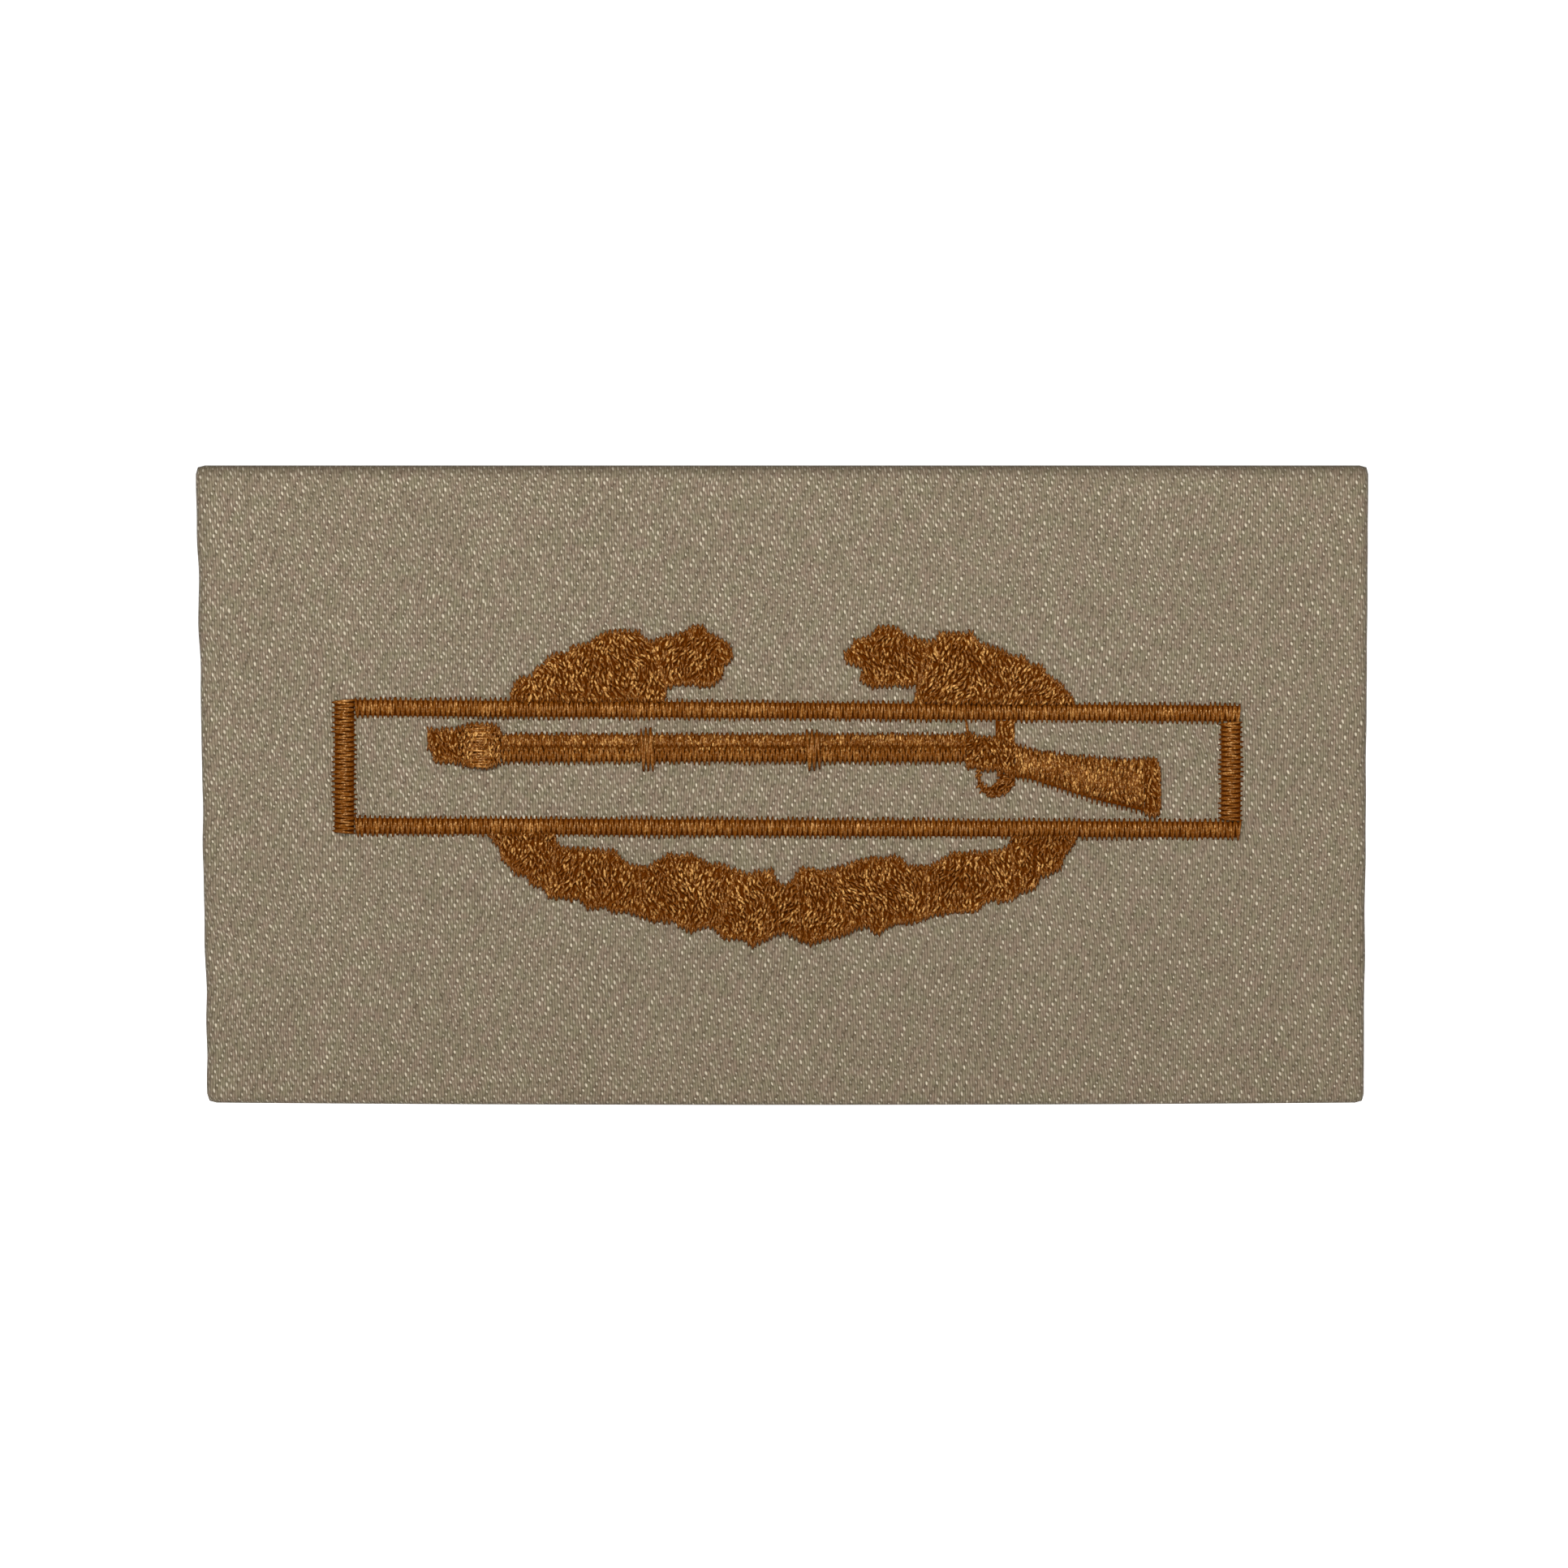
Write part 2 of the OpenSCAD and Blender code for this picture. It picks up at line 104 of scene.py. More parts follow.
# %% A short way to write node trees
class Tree:
    def __init__(self, name, kind="GeometryNodeTree"):
        self.t = bpy.data.node_groups.new(name, kind) if isinstance(name, str) else name
        self.gi = self.go = None

    def socket(self, name, kind, default=None, lo=None, hi=None, out=False):
        s = self.t.interface.new_socket(
            name, in_out="OUTPUT" if out else "INPUT", socket_type="NodeSocket" + kind)
        if default is not None:
            s.default_value = default
        if lo is not None:
            s.min_value = lo
        if hi is not None:
            s.max_value = hi

    def ends(self):
        self.gi = self.t.nodes.new("NodeGroupInput")
        self.go = self.t.nodes.new("NodeGroupOutput")

    def __getitem__(self, name):
        return self.gi.outputs[name]

    def out(self, name, value):
        self.set(self.go.inputs[name], value)

    def put(self, kind, ins=None, **props):
        n = self.t.nodes.new(kind)
        for k, v in props.items():
            setattr(n, k, v)
        for k, v in (ins or {}).items():
            self.set(n.inputs[k], v)
        return n

    def set(self, socket, v):
        if isinstance(v, bpy.types.NodeSocket):
            self.t.links.new(v, socket)
        else:
            socket.default_value = v

    def math(self, op, a, b=None, c=None, clamp=False):
        n = self.t.nodes.new("ShaderNodeMath")
        n.operation, n.use_clamp = op, clamp
        for i, v in enumerate((a, b, c)):
            if v is not None:
                self.set(n.inputs[i], v)
        return n.outputs[0]

    def add(self, a, b):
        return self.math("ADD", a, b)

    def sub(self, a, b):
        return self.math("SUBTRACT", a, b)

    def mul(self, a, b):
        return self.math("MULTIPLY", a, b)

    def div(self, a, b):
        return self.math("DIVIDE", a, b)

    def muladd(self, a, b, c):
        return self.math("MULTIPLY_ADD", a, b, c)

    def vec(self, op, a, b=None, scale=None, out=0):
        n = self.t.nodes.new("ShaderNodeVectorMath")
        n.operation = op
        self.set(n.inputs[0], a)
        if b is not None:
            self.set(n.inputs[1], b)
        if scale is not None:
            self.set(n.inputs["Scale"], scale)
        return n.outputs[out]

    def join(self, x, y, z):
        return self.put("ShaderNodeCombineXYZ", {0: x, 1: y, 2: z}).outputs[0]

    def split(self, v):
        return self.put("ShaderNodeSeparateXYZ", {0: v}).outputs

    def mix(self, kind, fac, a, b):
        n = self.t.nodes.new("ShaderNodeMix")
        n.data_type = kind
        first, result = {"VECTOR": (4, 1), "RGBA": (6, 2)}[kind]
        self.set(n.inputs[0], fac)
        self.set(n.inputs[first], a)
        self.set(n.inputs[first + 1], b)
        return n.outputs[result]

    def span(self, v, a, b, c, d, smooth=False):
        """v from a to b becomes c to d."""
        n = self.put("ShaderNodeMapRange", {0: v, 1: a, 2: b, 3: c, 4: d})
        n.interpolation_type = "SMOOTHSTEP" if smooth else "LINEAR"
        return n.outputs[0]

    def cloud(self, at, scale, detail, out="Fac", **more):
        ins = dict({"Vector": at, "Scale": scale, "Detail": detail}, **more)
        return self.put("ShaderNodeTexNoise", ins).outputs[out]

    def rand(self, a, b, seed, ident):
        n = self.t.nodes.new("FunctionNodeRandomValue")
        n.data_type = "FLOAT"
        n.inputs[2].default_value, n.inputs[3].default_value = a, b
        self.set(n.inputs["Seed"], seed)
        self.set(n.inputs["ID"], ident)
        return n.outputs[1]

    def luck(self, a, b, salt, ident):
        """A random number that follows the tree's own seed."""
        return self.rand(a, b, self.add(self["Seed"], salt), ident)

    def attr(self, name, kind="FLOAT"):
        n = self.t.nodes.new("GeometryNodeInputNamedAttribute")
        n.data_type = kind
        n.inputs["Name"].default_value = name
        return n.outputs["Attribute"]

    def store(self, geo, name, value, kind="FLOAT"):
        n = self.t.nodes.new("GeometryNodeStoreNamedAttribute")
        n.data_type, n.domain = kind, "POINT"
        n.inputs["Name"].default_value = name
        self.set(n.inputs["Geometry"], geo)
        self.set(n.inputs["Value"], value)
        return n.outputs[0]

    def ray(self, target, start, way, reach):
        return self.put("GeometryNodeRaycast", {"Target Geometry": target, "Source Position": start,
                                                "Ray Direction": way, "Ray Length": reach}).outputs

# %% [markdown]
# ## Threads
#
# Embroidery thread is round and twisted, goes down through the cloth at both
# ends of a stitch and stands off it between them. It could be painted on the
# solid, but real threads catch the light and have a ragged outline. So the
# `Threads` tree takes a cloud of points, one for each stitch. Each point
# carries the two ends of its stitch (`pa` and `pb`), a random number (`rnd`)
# and how high it stands (`lift`). The tree strings a curve between the ends,
# lifts its middle away from the cloth, wobbles it a little and sweeps a round
# section along it. It leaves `along`, the distance along the thread in
# millimetres, for the shader to lay the twist of the plies with.

# %% Inputs that all the stitch trees share
THREAD_INPUTS = (
    ("Outward", "Vector", FORWARDS),
    ("Steps", "Int", 9, 3, 64),
    ("Sides", "Int", 5, 3, 16),
    ("Thread radius", "Float", 0.11 * MM, 0.0),
    ("Sink", "Float", 0.05 * MM),
    ("Fullness", "Float", 2.0, 1.0, 12.0),
    ("Wobble", "Float", 0.04 * MM),
    ("Seed", "Int", 1),
    ("Material", "Material"),
)


def new_tree(name, *inputs):
    """A tree with these named inputs, then a thread's own, and a mesh as its result."""
    g = Tree(name)
    for row in inputs + THREAD_INPUTS:
        g.socket(*row)
    g.socket("Mesh", "Geometry", out=True)
    g.ends()
    return g

# %% The Threads tree
def make_threads():
    g = new_tree("Threads", ("Stitches", "Geometry"))
    line = g.put("GeometryNodeCurvePrimitiveLine", {"Start": (0, 0, 0), "End": (0, 0, 1)}, mode="POINTS")
    line = g.put("GeometryNodeResampleCurve", {"Curve": line.outputs[0], "Count": g["Steps"]}, mode="COUNT")
    each = g.put("GeometryNodeInstanceOnPoints", {"Points": g["Stitches"], "Instance": line.outputs[0]})
    real = g.put("GeometryNodeRealizeInstances", {0: each.outputs[0]})
    t = g.put("GeometryNodeSplineParameter").outputs["Factor"]
    pa, pb = g.attr("pa", "FLOAT_VECTOR"), g.attr("pb", "FLOAT_VECTOR")
    lift, rnd = g.attr("lift"), g.attr("rnd")
    at = g.mix("VECTOR", t, pa, pb)
    # 1 in the middle, 0 at both ends, with shoulders as full as asked
    edge = g.math("ABSOLUTE", g.muladd(t, 2.0, -1.0))
    arch = g.sub(1.0, g.math("POWER", edge, g["Fullness"]))
    rise = g.muladd(arch, g.add(lift, g["Sink"]), g.mul(g["Sink"], -1.0))
    at = g.vec("ADD", at, g.vec("SCALE", g["Outward"], scale=rise))
    # each thread wobbles in its own way
    own = g.vec("SCALE", (0.013, 0.007, 0.011), scale=g.mul(rnd, 50.0))
    sway = g.vec("SUBTRACT", g.cloud(g.vec("ADD", at, own), 2200.0, 1.0, "Color"), (0.5, 0.5, 0.5))
    sway = g.vec("SCALE", sway, scale=g.mul(g["Wobble"], g.mul(arch, 2.0)))
    at = g.vec("ADD", at, sway)
    moved = g.put("GeometryNodeSetPosition", {"Geometry": real.outputs[0], "Position": at})
    length = g.vec("LENGTH", g.vec("SUBTRACT", pb, pa), out=1)
    along = g.mul(g.mul(t, length), 1 / MM)
    geo = g.store(moved.outputs[0], "along", g.add(along, g.mul(rnd, 3.0)))
    # painted shade: crest is the arch, cut down near the first end of each stitch (the upper end on most), so
    # the shader paints that end darker
    geo = g.store(geo, "crest", g.mul(arch, g.span(t, 0.0, 0.28, 0.2, 1.0)))
    # the ends narrow where they go through the cloth
    thick = g.mul(g["Thread radius"], g.muladd(arch, 0.48, g.muladd(rnd, 0.16, 0.44)))
    circle = g.put("GeometryNodeCurvePrimitiveCircle", {"Resolution": g["Sides"], "Radius": 1.0})
    section = g.store(circle.outputs[0], "around", g.put("GeometryNodeSplineParameter").outputs["Factor"])
    mesh = g.put("GeometryNodeCurveToMesh", {"Curve": geo, "Profile Curve": section, "Scale": thick})
    smooth = g.put("GeometryNodeSetShadeSmooth", {"Geometry": mesh.outputs[0], "Shade Smooth": True})
    mat = g.put("GeometryNodeSetMaterial", {"Geometry": smooth.outputs[0], "Material": g["Material"]})
    g.out("Mesh", mat.outputs[0])
    return g.t


THREADS = make_threads()
print("tree", THREADS.name, len(THREADS.nodes), "nodes")

# %% [markdown]
# ### What the stitch trees share
#
# All three trees read the solid of a CAD node and end in the `Threads` tree.
# Under the stitches of real embroidery lies padding, which keeps the cloth from
# showing between them. Here the solid itself, drawn in and squeezed flat
# towards the cloth, is that padding.

# %% Solid in, threads out
REACH = 50 * MM                     # longer than any stitch
AHEAD = 20 * MM                     # a ray that looks back at the solid starts here
POINT = 0.1 * MM                    # only the size that a point is drawn with
WELD = 0.003 * MM                   # joins the loose triangles of a CAD mesh


def solid_of(g):
    info = g.put("GeometryNodeObjectInfo", {"Object": g["Solid"]}, transform_space="ORIGINAL")
    return info.outputs["Geometry"]


def welded(g, solid):
    return g.put("GeometryNodeMergeByDistance", {"Geometry": solid, "Distance": WELD}).outputs[0]


def looks_back(g, solid, start):
    """Whether a ray from in front of this place meets the solid."""
    ahead = g.vec("ADD", start, g.vec("SCALE", g["Outward"], scale=AHEAD))
    return g.ray(solid, ahead, g.vec("SCALE", g["Outward"], scale=-1.0), 1.5 * AHEAD)["Is Hit"]


def strung(g, stitches):
    """The planned stitches, turned into threads by the tree above."""
    group = g.put("GeometryNodeGroup", node_tree=THREADS)
    g.set(group.inputs["Stitches"], stitches)
    for name, *rest in THREAD_INPUTS:
        g.set(group.inputs[name], g[name])
    return group.outputs[0]


def padded(g, solid, threads):
    """The threads, together with the padding under them."""
    keep = g["Padding"]
    inwards = g.vec("SCALE", g.put("GeometryNodeInputNormal").outputs[0], scale=g.mul(g["Draw in"], -1.0))
    inner = g.put("GeometryNodeSetPosition", {"Geometry": welded(g, solid), "Offset": inwards})
    flat = g.put("GeometryNodeTransform", {
        "Geometry": inner.outputs[0], "Scale": g.join(1.0, keep, 1.0),
        "Translation": g.join(0.0, g.mul(g["Base"], g.sub(1.0, keep)), 0.0)})
    mat = g.put("GeometryNodeSetMaterial", {"Geometry": flat.outputs[0], "Material": g["Material"]})
    some = g.put("GeometryNodeSwitch", {"Switch": g.math("GREATER_THAN", keep, 0.01), "True": mat.outputs[0]},
                 input_type="GEOMETRY")
    both = g.put("GeometryNodeJoinGeometry")
    for part in (some.outputs[0], threads):
        g.t.links.new(part, both.inputs[0])
    return both.outputs[0]

# %% [markdown]
# ### Satin stitch
#
# The bar and the barrel are satin columns: threads side by side from one edge
# to the other. Points stand along a guide line inside the solid, and each looks
# both ways along the stitch direction until it meets the solid's wall, which
# gives the two ends, so the column follows any outline. The needle goes to and
# fro, so every second stitch leans the other way and neighbours share a hole.

# %% The Satin stitch tree
def make_satin():
    g = new_tree(
        "Satin stitch",
        ("Solid", "Object"),
        ("Guide start", "Vector", (0.0, 0.0, 0.0)),
        ("Guide end", "Vector", (0.0, 0.0, 0.0)),
        ("Direction", "Vector", UP),
        ("Pitch", "Float", PITCH, 0.02 * MM),
        ("Overshoot", "Float", 0.24 * MM),
        ("Ragged", "Float", 0.1 * MM),
        ("Lap ahead", "Float", 0.0),
        ("Lap behind", "Float", 0.0),
        ("Lap rise", "Float", 0.0),
        ("Base", "Float", Y_FRONT),
        ("Height", "Float", 0.45 * MM),
        ("Padding", "Float", 0.4, 0.0, 1.0),
        ("Draw in", "Float", 0.16 * MM, 0.0))
    solid = solid_of(g)
    run = g.vec("SUBTRACT", g["Guide end"], g["Guide start"])
    length = g.vec("LENGTH", run, out=1)
    unit = g.vec("NORMALIZE", run)
    count = g.add(g.math("FLOOR", g.div(length, g["Pitch"])), 1.0)
    i = g.put("GeometryNodeInputIndex").outputs[0]
    jog = g.mul(g.rand(-0.2, 0.2, g["Seed"], g.math("FLOOR", g.div(i, 2.0))), g["Pitch"])
    step = g.add(g.mul(g.add(i, 0.5), g.div(length, count)), jog)
    pos = g.vec("ADD", g["Guide start"], g.vec("SCALE", unit, scale=step))
    pts = g.put("GeometryNodePoints", {"Count": count, "Position": pos, "Radius": POINT})
    here = g.put("GeometryNodeInputPosition").outputs[0]
    parity = g.muladd(g.math("MODULO", i, 2.0), 2.0, -1.0)
    ends = []
    for k, sign in enumerate((1.0, -1.0)):
        way = g.vec("SCALE", g["Direction"], scale=sign)
        ray = g.ray(solid, here, way, REACH)
        lap = g["Lap ahead"] if sign > 0 else g["Lap behind"]
        far = g.add(g.add(ray["Hit Distance"], g["Overshoot"]), lap)
        # two stitches share a needle hole, so they share the ragged length too
        hole = g.math("FLOOR", g.div(g.add(i, float(k)), 2.0))
        far = g.add(far, g.mul(g["Ragged"], g.luck(-1.0, 1.0, 17.0 + k, hole)))
        far = g.mul(far, ray["Is Hit"])
        lean = g.mul(g.mul(g["Pitch"], 0.5 * sign), parity)
        end = g.vec("ADD", here, g.vec("SCALE", way, scale=far))
        ends.append(g.vec("ADD", end, g.vec("SCALE", unit, scale=lean)))
    geo = pts.outputs[0]
    oy = g.split(g["Outward"])[1]
    for name, end, lap in zip(("pa", "pb"), ends, ("Lap ahead", "Lap behind")):
        x, y, z = g.split(end)
        up = g.mul(g.math("GREATER_THAN", g[lap], 0.0), g["Lap rise"])
        geo = g.store(geo, name, g.join(x, g.muladd(up, oy, g["Base"]), z), "FLOAT_VECTOR")
    geo = g.store(geo, "rnd", g.luck(0.0, 1.0, 5.0, i))
    geo = g.store(geo, "lift", g.mul(g["Height"], g.luck(0.78, 1.16, 9.0, i)))
    g.out("Mesh", padded(g, solid, strung(g, geo)))
    return g.t


SATIN = make_satin()
print("tree", SATIN.name, len(SATIN.nodes), "nodes")

# %% [markdown]
# ### Fill stitch
#
# A leaf is too wide for satin stitch, so the machine fills it with short ones
# that look scattered. A jittered grid of points covers the leaf's box, and a
# point stays where a ray from the front meets the solid. Each stitch lies near
# one direction, with `Spread` for how wild it is, and it ends early where the
# wall of the solid is nearer than its own length.

# %% Where a fill stitch may start
def fill_points(g, solid, i):
    box = g.put("GeometryNodeBoundBox", {0: solid})
    sx, sy, sz = g.split(g.vec("SUBTRACT", box.outputs["Max"], box.outputs["Min"]))
    x0, y0, z0 = g.split(box.outputs["Min"])
    nx = g.add(g.math("CEIL", g.div(sx, g["Spacing"])), 1.0)
    nz = g.add(g.math("CEIL", g.div(sz, g["Spacing"])), 1.0)
    col, row = g.math("FLOORED_MODULO", i, nx), g.math("FLOOR", g.div(i, nx))

    def place(cell, low, salt):
        return g.muladd(g.add(cell, g.luck(-0.5, 0.5, salt, i)), g["Spacing"], low)

    pos = g.join(place(col, x0, 31.0), g.muladd(sy, 0.5, y0), place(row, z0, 47.0))
    pts = g.put("GeometryNodePoints", {"Count": g.mul(nx, nz), "Position": pos, "Radius": POINT})
    here = g.put("GeometryNodeInputPosition").outputs[0]
    hx, hy, hz = g.split(here)
    (wx0, wy0, wz0), (wx1, wy1, wz1) = g.split(g["Window low"]), g.split(g["Window high"])
    inside = g.mul(g.mul(g.math("GREATER_THAN", hx, wx0), g.math("LESS_THAN", hx, wx1)),
                   g.mul(g.math("GREATER_THAN", hz, wz0), g.math("LESS_THAN", hz, wz1)))
    inside = g.mul(inside, looks_back(g, solid, here))
    # a band along the lower edge can be left plain
    floor = g.ray(solid, here, DOWN, REACH)["Hit Distance"]
    inside = g.mul(inside, g.math("GREATER_THAN", floor, g["Clear below"]))
    kept = g.put("GeometryNodeDeleteGeometry", {"Geometry": pts.outputs[0], "Selection": g.sub(1.0, inside)})
    return kept.outputs[0], here

# %% The Fill stitch tree
def make_fill():
    g = new_tree(
        "Fill stitch",
        ("Solid", "Object"),
        ("Angle", "Float", math.pi / 2),
        ("Spread", "Float", 1.0),
        ("Stitch length", "Float", 0.75 * MM),
        ("Spacing", "Float", 0.31 * MM, 0.05 * MM),
        ("Overshoot", "Float", 0.15 * MM),
        ("Ragged", "Float", 0.18 * MM),
        ("Window low", "Vector", (-1.0, -1.0, -1.0)),
        ("Window high", "Vector", (1.0, 1.0, 1.0)),
        ("Clear below", "Float", 0.0, 0.0),
        ("Dome", "Float", 0.6, 0.0, 1.0),
        ("Dome width", "Float", 0.45 * MM),
        ("Lap level", "Float", 1.0),
        ("Lap side", "Float", 1.0),
        ("Lap length", "Float", 0.45 * MM),
        ("Lap rise", "Float", 0.4 * MM),
        ("Base", "Float", Y_FRONT),
        ("Height", "Float", 0.4 * MM),
        ("Padding", "Float", 0.4, 0.0, 1.0),
        ("Draw in", "Float", 0.05 * MM, 0.0))
    solid = solid_of(g)
    i = g.put("GeometryNodeInputIndex").outputs[0]
    geo, here = fill_points(g, solid, i)
    # neighbours swing the same way, and each adds a little of its own
    drift = g.mul(g.sub(g.cloud(here, 350.0, 0.0), 0.5), 2.0)
    angle = g.muladd(g.add(g.luck(-0.6, 0.6, 3.0, i), drift), g["Spread"], g["Angle"])
    way = g.join(g.math("COSINE", angle), 0.0, g.math("SINE", angle))
    half = g.mul(g["Stitch length"], g.luck(0.3, 0.7, 7.0, i))
    oy = g.split(g["Outward"])[1]
    for name, sign in (("pa", 1.0), ("pb", -1.0)):
        out = g.vec("SCALE", way, scale=sign)
        ray = g.ray(solid, here, out, REACH)
        # past the lap level the stitch runs over the neighbouring column
        beyond = g.mul(g.sub(g.split(ray["Hit Position"])[2], g["Lap level"]), g["Lap side"])
        lap = g.math("GREATER_THAN", beyond, 0.0)
        ragged = g.mul(g["Ragged"], g.luck(-1.0, 1.0, 21.0 + sign, i))
        wall = g.add(ray["Hit Distance"], g.add(g["Overshoot"], ragged))
        wall = g.add(wall, g.mul(lap, g["Lap length"]))
        far = g.math("MINIMUM", half, g.math("MAXIMUM", wall, 0.02 * MM))
        far = g.mul(far, ray["Is Hit"])
        x, y, z = g.split(g.vec("ADD", here, g.vec("SCALE", out, scale=far)))
        over = g.mul(lap, g.math("GREATER_THAN", far, ray["Hit Distance"]))
        # the leaf is fullest away from its edge
        deep = g.math("MAXIMUM", g.sub(ray["Hit Distance"], far), 0.0)
        full = g.sub(1.0, g.math("EXPONENT", g.mul(g.div(deep, g["Dome width"]), -1.0)))
        full = g.mul(g.mul(full, g["Dome"]), g["Height"])
        y = g.muladd(g.math("MAXIMUM", g.mul(over, g["Lap rise"]), full), oy, g["Base"])
        geo = g.store(geo, name, g.join(x, y, z), "FLOAT_VECTOR")
    geo = g.store(geo, "rnd", g.luck(0.0, 1.0, 5.0, i))
    loft = g.mul(g["Height"], g.sub(1.0, g["Dome"]))
    geo = g.store(geo, "lift", g.mul(loft, g.luck(0.5, 1.3, 9.0, i)))
    g.out("Mesh", padded(g, solid, strung(g, geo)))
    return g.t


FILL = make_fill()
print("tree", FILL.name, len(FILL.nodes), "nodes")

# %% [markdown]
# ### Edge stitch
#
# The needle goes up and down in a fill, so its upper and lower edges show a row
# of teeth. Scattered stitches alone leave a soft outline, so this tree follows
# the outline of the solid's front and lays a short upright stitch over it, with
# two neighbours sharing each hole.

# %% The Edge stitch tree
def make_edge():
    g = new_tree(
        "Edge stitch",
        ("Solid", "Object"),
        ("Pitch", "Float", PITCH, 0.02 * MM),
        ("Reach out", "Float", 0.27 * MM),
        ("Reach in", "Float", 0.5 * MM),
        ("Ragged", "Float", 0.14 * MM),
        ("Base", "Float", Y_FRONT),
        ("Height", "Float", 0.4 * MM))
    solid = solid_of(g)
    facing = g.vec("DOT_PRODUCT", g.put("GeometryNodeInputNormal").outputs[0], g["Outward"], out=1)
    front = g.put("GeometryNodeSeparateGeometry", {
        "Geometry": welded(g, solid), "Selection": g.math("GREATER_THAN", facing, 0.9)}, domain="FACE")
    alone = g.math("LESS_THAN", g.put("GeometryNodeInputMeshEdgeNeighbors").outputs[0], 1.5)
    outline = g.put("GeometryNodeMeshToCurve", {"Mesh": front.outputs[0], "Selection": alone})
    pts = g.put("GeometryNodeCurveToPoints", {"Curve": outline.outputs[0], "Length": g["Pitch"]},
                mode="LENGTH")
    here = g.put("GeometryNodeInputPosition").outputs[0]
    # the solid lies just below an upper edge, just above a lower one, and on
    # both sides or neither of an upright one, which gets no teeth
    above, below = (looks_back(g, solid, g.vec("ADD", here, (0.0, 0.0, dz)))
                    for dz in (0.06 * MM, -0.06 * MM))
    side = g.sub(below, above)
    upright = g.math("LESS_THAN", g.math("ABSOLUTE", side), 0.5)
    kept = g.put("GeometryNodeDeleteGeometry", {"Geometry": pts.outputs[0], "Selection": upright})
    i = g.put("GeometryNodeInputIndex").outputs[0]
    parity = g.muladd(g.math("MODULO", i, 2.0), 2.0, -1.0)
    x, y, z = g.split(here)
    oy = g.split(g["Outward"])[1]
    geo = g.store(kept.outputs[0], "side", side)
    side = g.attr("side")
    for name, reach, sign, level in (("pa", "Reach out", 1.0, 0.0), ("pb", "Reach in", -1.0, 0.5)):
        hole = g.math("FLOOR", g.div(g.add(i, 0.0 if sign > 0 else 1.0), 2.0))
        far = g.add(g[reach], g.mul(g["Ragged"], g.luck(-1.0, 1.0, 13.0 + sign, hole)))
        if sign < 0:
            far = g.mul(far, g.span(side, -1.0, 1.0, 1.0, 0.6))
        ex = g.add(x, g.mul(g.mul(g["Pitch"], 0.46 * sign), parity))
        ez = g.add(z, g.mul(g.mul(far, side), sign))
        ey = g.muladd(g.mul(g["Height"], level), oy, g["Base"])
        geo = g.store(geo, name, g.join(ex, ey, ez), "FLOAT_VECTOR")
    geo = g.store(geo, "rnd", g.luck(0.0, 1.0, 5.0, i))
    geo = g.store(geo, "lift", g.mul(g["Height"], g.luck(0.4, 0.6, 9.0, i)))
    g.out("Mesh", strung(g, geo))
    return g.t


EDGE = make_edge()
print("tree", EDGE.name, len(EDGE.nodes), "nodes")

# %% [markdown]
# ## Shaders
#
# Two effects are node groups with named sockets: the twist of a plied thread,
# which four materials share, and the weave of the twill. The groups give
# colour, height and roughness, and each material makes its own shader from
# them. No picture is used, so the detail stays sharp at any distance.

# %% Helpers for shaders
def srgb(r, g, b):
    """A colour given as 0 to 255 display values, as linear RGBA."""
    def linear(c):
        return c / 12.92 if c <= 0.04045 else ((c + 0.055) / 1.055) ** 2.4
    return (linear(r / 255), linear(g / 255), linear(b / 255), 1.0)


def carried(g, name):
    """An attribute that the mesh carries."""
    return g.put("ShaderNodeAttribute", attribute_type="GEOMETRY", attribute_name=name).outputs


def object_place(g):
    return g.put("ShaderNodeTexCoord").outputs["Object"]


def fibres(g, co):
    """The fine hairs of a thread."""
    return g.cloud(co, 5500.0, 2.0, Roughness=0.6)


def crest_of(g):
    return g.math("MAXIMUM", carried(g, "crest")["Fac"], 0.0)


def material(name):
    m = bpy.data.materials.new(name)
    m.use_nodes = True
    m.node_tree.nodes.clear()
    g = Tree(m.node_tree)
    out = g.put("ShaderNodeOutputMaterial")
    bsdf = g.put("ShaderNodeBsdfPrincipled")
    g.set(out.inputs["Surface"], bsdf.outputs[0])
    return m, g, bsdf


def shader_group(name, *inputs):
    g = Tree(name, "ShaderNodeTree")
    for row in inputs:
        g.socket(*row)
    for out, kind in (("Color", "Color"), ("Height", "Float"), ("Roughness", "Float")):
        g.socket(out, kind, out=True)
    g.ends()
    return g
